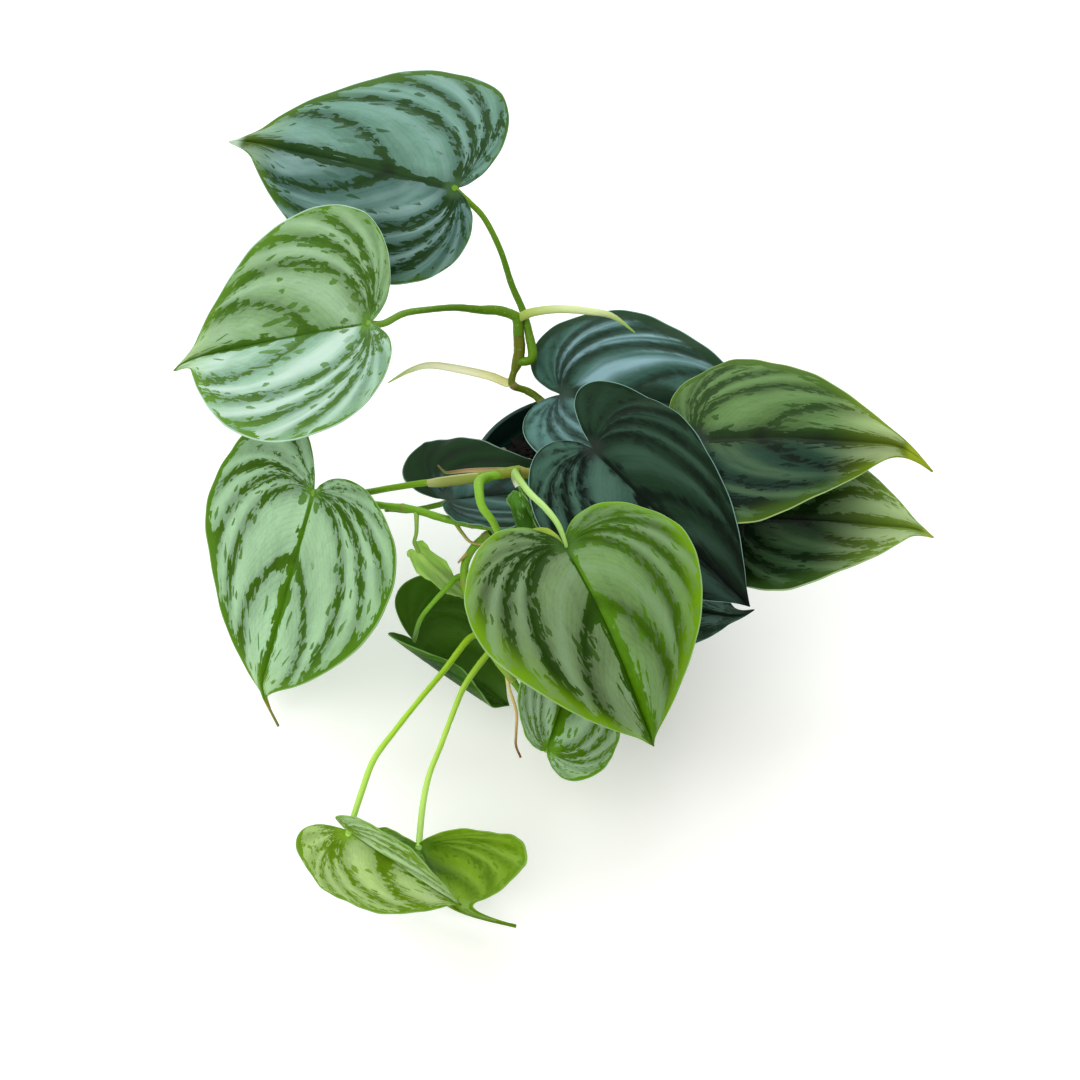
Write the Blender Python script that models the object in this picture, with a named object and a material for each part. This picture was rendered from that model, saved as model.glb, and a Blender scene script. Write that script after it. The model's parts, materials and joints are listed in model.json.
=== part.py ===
"""A potted trailing philodendron with silver-marked, heart-shaped leaves, in a round nursery pot.

The frame is in metres with +Z up. Its origin is the middle of the flat underside of the pot.
Every leaf blade, leaf stalk, stem and sheath is a closed solid of its own.
"""

from collections import namedtuple

import bpy
import numpy as np

MM = 0.001

# Driving dimensions, in millimetres.
POT_HEIGHT = 90
POT_RIM_RADIUS = 52
POT_BASE_RADIUS = 36
POT_WALL = 1.2
POT_BAND_HEIGHT = 12
POT_BAND_STEP = 1.6
POT_LIP = 0.8
POT_LIP_HEIGHT = 1.6
POT_EDGE = 0.3
POT_FOOT_BEVEL = 1
POT_SIDES = 48
DRAIN_HOLE_RADIUS = 4
DRAIN_HOLE_RING = 25
DRAIN_HOLES = 6
DRAIN_HOLE_TURN = 0.3
HOLE_SIDES = 10
CUT_PAST = 2
SOIL_TOP = 78
SOIL_RINGS = (42, 34, 26, 17, 8)
SOIL_LUMPS = 0.8
SOIL_HOLE_GAP = 0.9
CLEAR = 0.3
STALK_SEAT = 0.45
STALK_SIDES = 7
BLADE_THICKNESS = 0.8
BLADE_COLUMNS = 4
QUILT_HEIGHT = 0.7
RIB_DEPTH = 0.9
MARGIN_WAVE = 0.9
MARGIN_WAVES = 4.5

# The flat form of a blade, in blade lengths and in shares of its rows.
HALF_SPAN = 0.55
RIB_START = 0.44
RIB_EASE = 2.1
VEIN_BOW = 0.68
LOBE_ROWS = 0.2
LOBE_BLEND = 0.25
DRIP_WIDTH = 0.045
DRIP_START = 0.75
HOOK_START = 0.9

LEAF_ROUGHNESS = 0.4
STALK_ROUGHNESS = 0.45
POT_ROUGHNESS = 0.35
SOIL_ROUGHNESS = 0.9
SMOOTH_ANGLE = 50

# Half the outline of a heart-shaped blade, in blade lengths, from the stalk round the lobe to the tip.
HEART = np.array([(0, 0), (0.035, -0.075), (0.11, -0.15), (0.22, -0.18), (0.345, -0.145),
                  (0.455, -0.05), (0.525, 0.08), (0.55, 0.23), (0.53, 0.38), (0.465, 0.53),
                  (0.37, 0.67), (0.255, 0.80), (0.14, 0.90), (0.05, 0.965), (0, 1)])

# Colours as the surfaces show them, in linear red, green and blue.
GREEN_LIGHT = (0.13, 0.27, 0.06)
GREEN_MID = (0.07, 0.17, 0.06)
GREEN_DARK = (0.02, 0.07, 0.05)
STALK_GREEN = (0.25, 0.42, 0.06)
STALK_OLIVE = (0.10, 0.20, 0.02)
SHEATH_CREAM = (0.52, 0.60, 0.22)
DRY_TAN = (0.40, 0.22, 0.08)
SOIL_BROWN = (0.03, 0.018, 0.01)
POT_GREEN = (0.005, 0.05, 0.035)

# at: where the stalk joins, mm. heading, pitch and roll: the midrib's bearing and rise and the blade's
# turn about it, degrees. Pairs hold the left half, then the right half, seen from above with the tip
# ahead: width and lobe scale the outline, fold and curl lift and bend each half, degrees. droop bends
# the whole blade down to its tip, full rounds the outline, sweep bends the midrib sideways, drip is
# the thin tip beyond the outline and hook its sideways and upward turn, in blade lengths.
Blade = namedtuple("Blade", "at heading pitch roll length width lobe fold curl droop full sweep drip "
                            "hook veins colour")
BLADES = {
    "blade_01": Blade((-59, 95, 174), 160, 4, -30, 106, (0.89, 1.14), (0.77, 0.65), (4, -6),
                      (15, 17), 6, -0.09, -0.02, 0.06, (-0.03, 0.01), 7, GREEN_DARK),
    "blade_02": Blade((-94, 27, 152), 171, -17, -41, 92, (1.19, 1.10), (0.90, 0.70), (35, -1),
                      (4, 4), 6, 0.08, -0.03, 0.09, (-0.04, 0.00), 7, GREEN_LIGHT),
    "blade_03": Blade((-119, -20, 97), -121, -53, -2, 100, (1.08, 1.04), (0.76, 1.49), (21, -6),
                      (8, 6), 6, -0.08, 0.01, 0.11, (0.03, 0.02), 7, GREEN_LIGHT),
    "blade_04": Blade((-11, 38, 102), -7, 6, 15, 97, (1.00, 0.96), (0.97, 0.84), (-1, 23),
                      (12, 16), 28, 0.08, 0.00, 0.05, (0.00, 0.00), 7, GREEN_DARK),
    "blade_05": Blade((1, -30, 133), -38, -24, 11, 89, (0.93, 0.85), (1.42, 0.95), (-2, 2),
                      (24, 11), 11, -0.28, -0.01, 0.02, (0.00, 0.00), 7, GREEN_DARK),
    "blade_06": Blade((47, -2, 112), -12, 17, 12, 88, (1.06, 0.85), (0.92, 1.00), (1, -3),
                      (23, 13), 21, -0.29, 0.00, 0.15, (0.05, 0.02), 7, GREEN_MID),
    "blade_07": Blade((72, -16, 77), -18, 20, 14, 75, (1.00, 1.00), (1.00, 1.00), (10, 18),
                      (15, 18), 22, -0.23, -0.01, 0.07, (0.04, 0.00), 7, GREEN_MID),
    "blade_08": Blade((14, -68, 84), -3, -11, 38, 52, (1.00, 0.80), (1.00, 1.00), (6, 10),
                      (15, 15), 16, -0.30, 0.00, 0.12, (-0.08, 0.03), 6, GREEN_DARK),
    "blade_09": Blade((-11, -76, 125), -62, -10, 0, 84, (1.07, 1.06), (0.87, 1.09), (0, 8),
                      (10, 19), 45, -0.17, 0.00, 0.02, (0.00, 0.00), 7, GREEN_LIGHT),
    "blade_10": Blade((-60, -26, 99), 22, -12, -12, 67, (1.12, 0.91), (1.24, 0.55), (12, 12),
                      (4, 8), 6, -0.27, 0.02, 0.03, (0.00, 0.00), 7, GREEN_DARK),
    "blade_11": Blade((-76, -67, 54), -3, -50, -148, 58, (0.80, 1.15), (1.60, 1.70), (-30, 12),
                      (130, 20), 10, 0.00, 0.00, 0.02, (0.00, 0.00), 7, GREEN_MID),
    "blade_12": Blade((-18, -117, 45), 73, 3, 34, 53, (1.06, 0.94), (0.60, 1.07), (36, 25),
                      (13, 8), 6, 0.01, 0.00, 0.05, (0.00, 0.00), 6, GREEN_LIGHT),
    "blade_13": Blade((-94, -164, 60), -24, -30, 50, 51, (0.97, 1.08), (0.95, 1.60), (56, 9),
                      (17, 38), 6, -0.04, -0.01, 0.04, (0.00, 0.00), 6, GREEN_LIGHT),
    "blade_14": Blade((-68, -165, 51), -33, -72, 68, 45, (1.63, 1.08), (0.80, 0.81), (-6, -4),
                      (4, 36), 6, 0.01, -0.03, 0.10, (0.10, 0.05), 6, GREEN_LIGHT),
    "blade_15": Blade((-74, -41, 82), -31, -38, 153, 32, (0.80, 0.80), (1.00, 1.00), (5, 5),
                      (10, 10), 10, 0.00, 0.00, 0.08, (0.00, 0.00), 5, GREEN_LIGHT),
    "blade_16": Blade((-29, -43, 120), -66, -31, 56, 28, (0.60, 0.60), (1.00, 1.00), (35, 35),
                      (10, 10), 10, 0.00, 0.00, 0.08, (0.00, 0.00), 5, GREEN_MID),
}

# Leaf stalks: whether the end lies over or under the blade, the radius at the foot and at the blade,
# and the route from the foot, mm. The last point is worked out from the blade.
STALKS = {
    "01": ("under", 1.9, 1.4, [(-24.6, 53, 111), (-26, 61, 118), (-29, 69, 126), (-34, 75, 136),
                               (-39, 82, 150), (-46, 89, 162), (-53, 92, 169)]),
    "02": ("under", 2.1, 1.6, [(-32.8, 64.6, 126.3), (-40, 65, 129), (-48, 63, 131), (-59, 57, 137),
                               (-70, 48, 143), (-80, 39, 148), (-88, 31, 149)]),
    "03": ("under", 2.3, 1.5, [(-32.6, -36, 125.8), (-46, -35, 122), (-58, -33, 118),
                               (-71, -30, 113), (-85, -26, 106), (-98, -22, 99),
                               (-111, -18, 95)]),
    "04": ("under", 1.9, 1.6, [(-2, 36, 69), (-2, 36, 75), (-2, 36, 82), (-4, 37, 90),
                               (-10, 38, 96)]),
    "05": ("under", 1.9, 1.6, [(18, -20, 69), (18, -20, 75), (18, -20, 82), (15, -22, 96),
                               (9, -24, 112), (3, -28, 125)]),
    "06": ("under", 1.9, 1.6, [(26, -15, 69), (26, -15, 75), (26, -15, 82), (30, -19, 91),
                               (38, -18, 96), (45, -10, 102), (48, -4, 107)]),
    "07": ("over", 1.8, 1.4, [(32, -4, 69), (32, -4, 75), (32, -4, 82), (38, -8, 92),
                              (47, -13, 96), (57, -16, 95), (66, -16, 91), (71, -16, 84)]),
    "08": ("under", 2.1, 1.7, [(-46, -37.2, 124.8), (-46, -44, 128), (-46, -50, 128), (-45, -56, 126),
                               (-41, -59, 121), (-37, -60, 111), (-31, -59, 100), (-22, -60, 90),
                               (-10, -63, 84), (4, -67, 81)]),
    "09": ("over", 1.9, 1.8, [(-31, -37.9, 127.7), (-30, -45, 132), (-25, -54, 132), (-19, -62, 132),
                              (-14, -70, 131)]),
    "10": ("under", 1.6, 1.3, [(-84.7, -24.7, 92), (-78, -23, 89), (-70, -23, 91), (-64, -24, 94)]),
    "11": ("under", 1.5, 1.2, [(-56.5, -53, 79.2), (-60, -57, 78), (-66, -62, 74), (-72, -66, 67)]),
    "12": ("under", 1.5, 1.3, [(-31.7, -88.3, 51.6), (-24, -97, 44), (-18, -106, 39), (-17, -113, 39)]),
    "13": ("under", 1.5, 1.3, [(-47.8, -72.7, 65.3), (-52, -77, 66), (-61, -91, 64),
                               (-70, -107, 66), (-79, -123, 67), (-86, -137, 68), (-90, -150, 65)]),
    "14": ("under", 1.5, 1.3, [(-43.1, -79.8, 60.8), (-52, -95, 60), (-57, -110, 59), (-61, -123, 57),
                               (-65, -137, 57), (-67, -150, 55)]),
    "15": ("under", 1.1, 0.9, [(-73.8, -32.8, 95.8), (-74, -37, 90), (-75, -39, 86)]),
    "16": ("under", 1.2, 1.0, [(-28.3, -37.6, 122.7), (-27, -41, 120)]),
}

# Stems, shoots, sheaths and stubs: radii at the foot and the end, flatness of the section (1 is
# round), colour and route, mm.
STEMS = {
    "stem_rising": (1.8, 2.3, 1.0, STALK_OLIVE,
                    [(-10, 24, 69), (-10, 24, 75), (-10, 25, 81), (-15, 35, 88), (-21, 44, 93),
                     (-27, 47, 96), (-33, 47, 99), (-34, 49, 102), (-33, 54, 108), (-31, 57, 113),
                     (-31, 62, 120), (-31, 64, 124)]),
    "stem_middle": (2.2, 2.2, 1.0, STALK_OLIVE,
                    [(14, -14, 69), (14, -14, 75), (14, -14, 82), (8, -22, 95), (-2, -28, 108),
                     (-16, -33, 119), (-31, -36, 126)]),
    "shoot_side": (1.9, 1.5, 1.0, STALK_GREEN,
                   [(-14, -20, 69), (-14, -20, 75), (-15, -21, 82), (-20, -27, 90), (-28, -34, 96),
                    (-38, -41, 98), (-51, -40, 99), (-62, -37, 99), (-75, -30, 97),
                    (-88, -25, 94), (-100, -18, 89)]),
    "stem_trailing": (1.8, 1.6, 1.0, STALK_GREEN,
                      [(-42, -42, 95), (-46, -43, 92), (-50, -45, 88), (-53, -49, 83),
                       (-53, -56, 77), (-50, -64, 71), (-46, -72, 65), (-40, -80, 58),
                       (-32, -88, 52)]),
    "sheath_left": (2.0, 0.6, 0.5, SHEATH_CREAM,
                    [(-37, 47, 100), (-44, 46, 106), (-58, 44, 112), (-71, 42, 116),
                     (-80, 37, 117), (-89, 30, 116)]),
    "sheath_right": (2.0, 0.6, 0.5, SHEATH_CREAM,
                     [(-29.5, 64, 126.3), (-23, 63, 130), (-12, 61, 133), (2, 58, 134),
                      (12, 57, 132), (22, 53, 126)]),
    "sheath_dried": (1.4, 0.5, 0.5, DRY_TAN,
                     [(-27, -31.9, 126), (-38, -30, 125), (-50, -28, 121), (-59, -26, 117),
                      (-64, -22, 117)]),
    "root_dried": (0.8, 0.5, 1.0, DRY_TAN,
                   [(-35, -85.4, 51.1), (-34, -90, 49), (-31, -99, 46), (-31, -108, 44), (-31, -114, 43),
                    (-29, -118, 40)]),
}


def spline(points, steps):
    """Points read at equal steps from a smooth curve through the given points (Catmull-Rom)."""
    points = np.asarray(points, float)
    padded = np.vstack([2 * points[0] - points[1], points, 2 * points[-1] - points[-2]])
    place = np.linspace(0, len(points) - 1, steps + 1)
    first = np.minimum(place.astype(int), len(points) - 2)
    u = (place - first)[:, None]
    p0, p1, p2, p3 = (padded[first + k] for k in range(4))
    return 0.5 * (2 * p1 + (p2 - p0) * u + (2 * p0 - 5 * p1 + 4 * p2 - p3) * u ** 2
                  + (3 * p1 - p0 - 3 * p2 + p3) * u ** 3)


def chord(bend):
    """The ratio of a bent line's chord to its length, for half its turn in radians."""
    return np.sinc(bend / np.pi)


def blade_axes(blade):
    """The blade's right, ahead and up directions, one a row."""
    heading, pitch, roll = np.radians([blade.heading, blade.pitch, blade.roll])
    ahead = np.array([np.cos(pitch) * np.cos(heading), np.cos(pitch) * np.sin(heading), np.sin(pitch)])
    level_up = np.array([0, 0, 1]) - ahead[2] * ahead
    level_up /= np.linalg.norm(level_up)
    level_right = np.cross(ahead, level_up)
    up = level_up * np.cos(roll) + level_right * np.sin(roll)
    return np.array([np.cross(ahead, up), ahead, up])


def half_blade(blade, side, rows):
    """A grid of points over one half: rows follow the veins from the midrib to the margin."""
    half = 0 if side < 0 else 1
    row = np.linspace(0, 1, rows + 1)[:, None]
    column = np.linspace(0, 1, BLADE_COLUMNS + 1)[None, :]
    edge = spline(HEART, rows)
    edge_x = edge[:, :1] * blade.width[half]
    edge_y = edge[:, 1:]
    edge_y = np.where(edge_y < 0, edge_y * blade.lobe[half], edge_y + blade.full * edge_y * (1 - edge_y))
    rib = np.clip((row - RIB_START) / (1 - RIB_START), 0, 1) ** RIB_EASE
    past_lobe = np.clip((row - LOBE_ROWS) / LOBE_BLEND, 0, 1)
    bow = VEIN_BOW * column * (1 - column) * past_lobe
    x = column * edge_x + bow * (edge_y - rib)
    y = rib + column * (edge_y - rib) - bow * edge[:, :1]
    near_tip = np.clip((y - DRIP_START) / (1 - DRIP_START), 0, 1) ** 2
    y = y + blade.drip * np.exp(-(x / DRIP_WIDTH) ** 2) * near_tip
    past = np.clip((y - HOOK_START) / (1 - HOOK_START + blade.drip), 0, 1) ** 2

    quilt = QUILT_HEIGHT * np.sin(np.pi * blade.veins * row) ** 2 * 4 * column * (1 - column)
    groove = -RIB_DEPTH * (1 - column) ** 6 * np.clip(y * 8, 0, 1) * np.clip((1 - y) * 4, 0, 1)
    ripple = np.sin(2 * np.pi * MARGIN_WAVES * row + blade.heading)
    wave = MARGIN_WAVE * column ** 3 * ripple * np.sin(np.pi * row)
    relief = (past_lobe * (quilt + wave) + groove) / blade.length

    fold = np.radians(blade.fold[half])
    curl = np.radians(blade.curl[half]) / HALF_SPAN
    across = x * np.cos(fold - curl * x / 2) * chord(curl * x / 2)
    rise = x * np.sin(fold - curl * x / 2) * chord(curl * x / 2) + relief
    lean = np.radians(-blade.droop) * y
    along = y * np.cos(lean / 2) * chord(lean / 2) - rise * np.sin(lean)
    height = y * np.sin(lean / 2) * chord(lean / 2) + rise * np.cos(lean)
    across = side * across + blade.sweep * np.maximum(y, 0) ** 2 + blade.hook[0] * past
    height = height + blade.hook[1] * past
    local = np.stack([across, along, height], -1) * blade.length
    return np.array(blade.at) + local @ blade_axes(blade)


def grid_triangles(rows, columns, turned):
    """Triangles of a grid of rows + 1 by columns + 1 points, numbered row by row."""
    corner = np.arange(rows)[:, None] * (columns + 1) + np.arange(columns)
    corner = corner.reshape(-1, 1)
    beside = corner + 1
    ahead = corner + columns + 1
    opposite = ahead + 1
    triangles = np.vstack([np.hstack([corner, beside, opposite]), np.hstack([corner, opposite, ahead])])
    return triangles[:, ::-1] if turned else triangles


def thicken(points, triangles, thickness):
    """A closed solid: the sheet moved half its thickness each way, with a strip round its border."""
    corners = points[triangles]
    facing = np.cross(corners[:, 1] - corners[:, 0], corners[:, 2] - corners[:, 0])
    normals = np.zeros_like(points)
    for k in range(3):
        np.add.at(normals, triangles[:, k], facing)
    normals /= np.linalg.norm(normals, axis=1)[:, None]
    count = len(points)
    edges = np.vstack([triangles[:, [0, 1]], triangles[:, [1, 2]], triangles[:, [2, 0]]])
    pairs, which, times = np.unique(np.sort(edges, axis=1), axis=0, return_inverse=True,
                                    return_counts=True)
    border = edges[times[which.reshape(-1)] == 1]
    start, end = border[:, :1], border[:, 1:]
    strip = np.vstack([np.hstack([start, start + count, end + count]),
                       np.hstack([start, end + count, end])])
    offset = normals * thickness / 2
    solid = np.vstack([points + offset, points - offset])
    return solid, np.vstack([triangles, triangles[:, ::-1] + count, strip])


def add_solid(name, points, triangles, colour, roughness):
    """An object with its own material from points in millimetres."""
    mesh = bpy.data.meshes.new(name)
    mesh.from_pydata((np.asarray(points) * MM).tolist(), [], np.asarray(triangles).tolist())
    mesh.update()
    mesh.shade_smooth()
    mesh.set_sharp_from_angle(angle=np.radians(SMOOTH_ANGLE))
    material = bpy.data.materials.new(name)
    material.use_nodes = True
    shader = material.node_tree.nodes["Principled BSDF"]
    shader.inputs["Base Color"].default_value = (*colour, 1)
    shader.inputs["Roughness"].default_value = roughness
    shader.inputs["Metallic"].default_value = 0
    mesh.materials.append(material)
    solid = bpy.data.objects.new(name, mesh)
    bpy.context.scene.collection.objects.link(solid)
    return solid


def make_blade(name, blade):
    """A heart-shaped blade: two halves of veined rows, merged along the midrib and at the ends."""
    rows = 2 * blade.veins
    halves = [half_blade(blade, side, rows).reshape(-1, 3) for side in (-1, 1)]
    grid = np.vstack(halves)
    triangles = np.vstack([grid_triangles(rows, BLADE_COLUMNS, True),
                           grid_triangles(rows, BLADE_COLUMNS, False) + len(halves[0])])
    _, kept, merged = np.unique(np.round(grid, 4), axis=0, return_index=True, return_inverse=True)
    triangles = merged.reshape(-1)[triangles]
    a, b, c = triangles.T
    triangles = triangles[(a != b) & (b != c) & (c != a)]
    points, triangles = thicken(grid[kept], triangles, BLADE_THICKNESS)
    return add_solid(name, points, triangles, blade.colour, LEAF_ROUGHNESS)


def make_tube(name, route, radii, flatness, colour):
    """A tube of changing radius along a smooth route, closed by flat ends; flatness squeezes it."""
    sides = STALK_SIDES
    steps = 2 * (len(route) - 1)
    path = spline(route, steps)
    tangent = np.gradient(path, axis=0)
    tangent /= np.linalg.norm(tangent, axis=1)[:, None]
    side = np.cross(tangent[0], (0.3, 0.2, 1))
    sideways = []
    for direction in tangent:
        side = side - direction * (side @ direction)
        side = side / np.linalg.norm(side)
        sideways.append(side)
    sideways = np.array(sideways)
    upward = np.cross(tangent, sideways)
    radius = np.interp(np.linspace(0, 1, steps + 1), np.linspace(0, 1, len(radii)), radii)[:, None, None]
    turn = np.linspace(0, 2 * np.pi, sides, endpoint=False)[None, :, None]
    rings = path[:, None] + radius * (np.cos(turn) * sideways[:, None]
                                      + flatness * np.sin(turn) * upward[:, None])
    points = np.vstack([rings.reshape(-1, 3), path[:1], path[-1:]])
    ring = np.arange(sides)
    following = (ring + 1) % sides
    triangles = []
    for step in range(steps):
        low = step * sides
        high = low + sides
        triangles += list(zip(low + ring, low + following, high + following))
        triangles += list(zip(low + ring, high + following, high + ring))
    first = len(points) - 2
    last = len(points) - 1
    triangles += list(zip(following, ring, [first] * sides))
    triangles += list(zip(steps * sides + ring, steps * sides + following, [last] * sides))
    return add_solid(name, points, triangles, colour, STALK_ROUGHNESS)


def make_stalk(number):
    """A leaf stalk that ends just clear of its blade, where the two halves meet."""
    side, foot, top, route = STALKS[number]
    blade = BLADES["blade_" + number]
    up = blade_axes(blade)[2]
    arrival = np.array(blade.at) - route[-1]
    arrival = arrival / np.linalg.norm(arrival)
    reach = top * np.linalg.norm(np.cross(arrival, up))
    away = (BLADE_THICKNESS / 2 + STALK_SEAT + reach) * (1 if side == "over" else -1)
    end = np.array(blade.at) + away * up
    colour = STALK_OLIVE if number in ("01", "02") else STALK_GREEN
    return make_tube("stalk_" + number, [*route, tuple(end)], (foot, top), 1.0, colour)


def turned(name, profile, colour, roughness, sides=POT_SIDES):
    """A body turned round Z from a profile of (radius, height) that starts and ends on the axis."""
    ring = np.linspace(0, 2 * np.pi, sides, endpoint=False)
    vertices = []
    rows = []
    for radius, height in profile:
        copies = 1 if radius == 0 else sides
        rows.append([len(vertices) + k % copies for k in range(sides)])
        vertices += [(radius * np.cos(angle), radius * np.sin(angle), height) for angle in ring[:copies]]
    triangles = []
    for low, high in zip(rows, rows[1:]):
        for k in range(sides):
            following = (k + 1) % sides
            for face in ((low[k], low[following], high[following]), (low[k], high[following], high[k])):
                if len(set(face)) == 3:
                    triangles.append(face)
    return add_solid(name, vertices, triangles, colour, roughness)


def cut(body, cutters):
    """Takes the cutters out of the body and removes them."""
    group = bpy.data.collections.new(body.name + "_cutters")
    for hole in cutters:
        bpy.context.scene.collection.objects.unlink(hole)
        group.objects.link(hole)
    modifier = body.modifiers.new("cut", "BOOLEAN")
    modifier.operation = "DIFFERENCE"
    modifier.operand_type = "COLLECTION"
    modifier.collection = group
    modifier.solver = "EXACT"
    graph = bpy.context.evaluated_depsgraph_get()
    result = bpy.data.meshes.new_from_object(body.evaluated_get(graph))
    body.modifiers.clear()
    body.data = result
    for hole in cutters:
        bpy.data.objects.remove(hole)
    bpy.data.collections.remove(group)


def cutter(x, y, low, high, radius):
    """An upright cylinder that is only used to cut a hole."""
    profile = [(0, low), (radius, low), (radius, high), (0, high)]
    body = turned("hole", profile, DRY_TAN, STALK_ROUGHNESS, HOLE_SIDES)
    body.location = (x * MM, y * MM, 0)
    body.hide_render = True
    body.display_type = "WIRE"
    bpy.context.view_layer.update()
    return body


def outer_radius(height):
    """The pot's outer radius below its band."""
    return POT_BASE_RADIUS + (POT_RIM_RADIUS - POT_BAND_STEP - POT_BASE_RADIUS) * height / POT_HEIGHT


def inner_radius(height):
    """The pot's inner radius below its band."""
    return outer_radius(height) - POT_WALL


def make_pot():
    """A tapered cup with a stepped band at its rim and drain holes round its flat base."""
    band = POT_HEIGHT - POT_BAND_HEIGHT
    at_band = outer_radius(band)
    lip = POT_HEIGHT - POT_LIP_HEIGHT
    outside = [(0, 0), (POT_BASE_RADIUS - POT_FOOT_BEVEL, 0), (POT_BASE_RADIUS, POT_FOOT_BEVEL),
               (at_band, band), (at_band + POT_BAND_STEP - POT_EDGE, band + POT_EDGE),
               (POT_RIM_RADIUS - POT_EDGE, lip), (POT_RIM_RADIUS, lip + POT_EDGE),
               (POT_RIM_RADIUS, POT_HEIGHT - POT_EDGE), (POT_RIM_RADIUS - POT_EDGE, POT_HEIGHT)]
    inside = [(POT_RIM_RADIUS - POT_WALL - POT_LIP, POT_HEIGHT - POT_EDGE),
              (at_band + POT_BAND_STEP - POT_WALL - POT_EDGE, band + POT_WALL + POT_EDGE),
              (inner_radius(band), band),
              (inner_radius(POT_WALL + POT_FOOT_BEVEL), POT_WALL + POT_FOOT_BEVEL),
              (inner_radius(POT_WALL) - POT_FOOT_BEVEL, POT_WALL), (0, POT_WALL)]
    pot = turned("pot", outside + inside, POT_GREEN, POT_ROUGHNESS)
    turns = np.linspace(0, 2 * np.pi, DRAIN_HOLES, endpoint=False) + DRAIN_HOLE_TURN
    cut(pot, [cutter(DRAIN_HOLE_RING * np.cos(turn), DRAIN_HOLE_RING * np.sin(turn),
                     -CUT_PAST, POT_WALL + CUT_PAST, DRAIN_HOLE_RADIUS) for turn in turns])


def make_soil():
    """Bark and fibre that fills the pot, lumpy on top, with a plain hole for each stem in it."""
    low = POT_WALL + CLEAR
    foot = (inner_radius(low) - CLEAR - POT_FOOT_BEVEL, low)
    wall = [(inner_radius(z) - CLEAR, z) for z in (low + POT_FOOT_BEVEL, SOIL_TOP - 1)]
    top = [(radius, SOIL_TOP) for radius in SOIL_RINGS]
    soil = turned("soil", [(0, low), foot, *wall, *top, (0, SOIL_TOP)], SOIL_BROWN, SOIL_ROUGHNESS)
    for vertex in soil.data.vertices:
        x, y, z = vertex.co / MM
        if z > SOIL_TOP - CLEAR:
            lump = np.sin(0.55 * x + 1.3) * np.cos(0.47 * y) + 0.6 * np.sin(0.9 * y + 0.4 * x)
            vertex.co.z = (SOIL_TOP + SOIL_LUMPS * lump) * MM
    feet = [(foot_radius, route[0]) for _, foot_radius, _, route in STALKS.values()]
    feet += [(foot_radius, route[0]) for foot_radius, _, _, _, route in STEMS.values()]
    cut(soil, [cutter(x, y, z - CLEAR, SOIL_TOP + CUT_PAST + 2 * SOIL_LUMPS, radius + SOIL_HOLE_GAP)
               for radius, (x, y, z) in feet if z < SOIL_TOP])


def main():
    for thing in list(bpy.data.objects):
        bpy.data.objects.remove(thing)
    make_pot()
    make_soil()
    for name, blade in BLADES.items():
        make_blade(name, blade)
    for number in STALKS:
        make_stalk(number)
    for name, (foot, end, flatness, colour, route) in STEMS.items():
        make_tube(name, route, (foot, end), flatness, colour)


main()
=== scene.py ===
"""A potted trailing philodendron with silver-marked, heart-shaped leaves.

Each packed blade, stalk, stem, sheath, the pot and its soil is replaced by a finer surface on the
same route and with the same size. Lengths are in millimetres until a mesh is made, in metres.
"""

import json
from collections import namedtuple

import bpy
import numpy as np
from mathutils import Matrix, Vector

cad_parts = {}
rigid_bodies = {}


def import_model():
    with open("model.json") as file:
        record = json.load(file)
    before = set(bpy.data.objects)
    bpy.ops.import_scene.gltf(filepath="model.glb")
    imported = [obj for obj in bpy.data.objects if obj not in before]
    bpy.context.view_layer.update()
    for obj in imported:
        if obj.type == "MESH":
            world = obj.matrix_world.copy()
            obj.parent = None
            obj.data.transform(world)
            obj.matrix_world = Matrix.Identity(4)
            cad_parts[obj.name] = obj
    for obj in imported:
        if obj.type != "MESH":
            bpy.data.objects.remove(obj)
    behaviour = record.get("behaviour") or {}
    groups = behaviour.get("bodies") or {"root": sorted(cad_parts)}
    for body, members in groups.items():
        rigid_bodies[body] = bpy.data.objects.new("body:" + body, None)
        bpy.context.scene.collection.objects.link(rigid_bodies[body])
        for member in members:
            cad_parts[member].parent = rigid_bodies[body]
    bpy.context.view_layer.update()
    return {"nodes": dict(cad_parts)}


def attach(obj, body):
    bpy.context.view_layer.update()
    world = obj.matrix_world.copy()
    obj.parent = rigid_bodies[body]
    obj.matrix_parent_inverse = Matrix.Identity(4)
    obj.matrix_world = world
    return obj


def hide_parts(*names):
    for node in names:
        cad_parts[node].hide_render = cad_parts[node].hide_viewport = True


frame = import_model()


MM = 0.001

# The pot and its soil, in millimetres, as they are packed.
POT_HEIGHT = 90
POT_RIM_RADIUS = 52
POT_BASE_RADIUS = 36
POT_WALL = 1.2
POT_BAND_HEIGHT = 12
POT_BAND_STEP = 1.6
POT_LIP = 0.8
POT_LIP_HEIGHT = 1.6
POT_EDGE = 0.3
POT_FOOT_BEVEL = 1
POT_CORNER = 0.35
POT_SIDES = 144
DRAIN_HOLE_RADIUS = 4
DRAIN_HOLE_RING = 25
DRAIN_HOLES = 6
DRAIN_HOLE_TURN = 0.3
DRAIN_HOLE_SIDES = 32
DRAIN_CUT_DEPTH = 10
SOIL_TOP = 78
SOIL_GAP = 0.3
SOIL_LUMPS = 0.8
SOIL_SPREAD = 46
SOIL_SIDES = 96
SOIL_RINGS = 26
SOIL_SEED = 11
CHIP_SIDES = 7

# Where the painted shade inside the pot begins and is full, as radii and heights in metres.
POT_SHADE_RADII = (0.0511, 0.0506)
POT_SHADE_HEIGHTS = (0.0775, 0.079)

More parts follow.
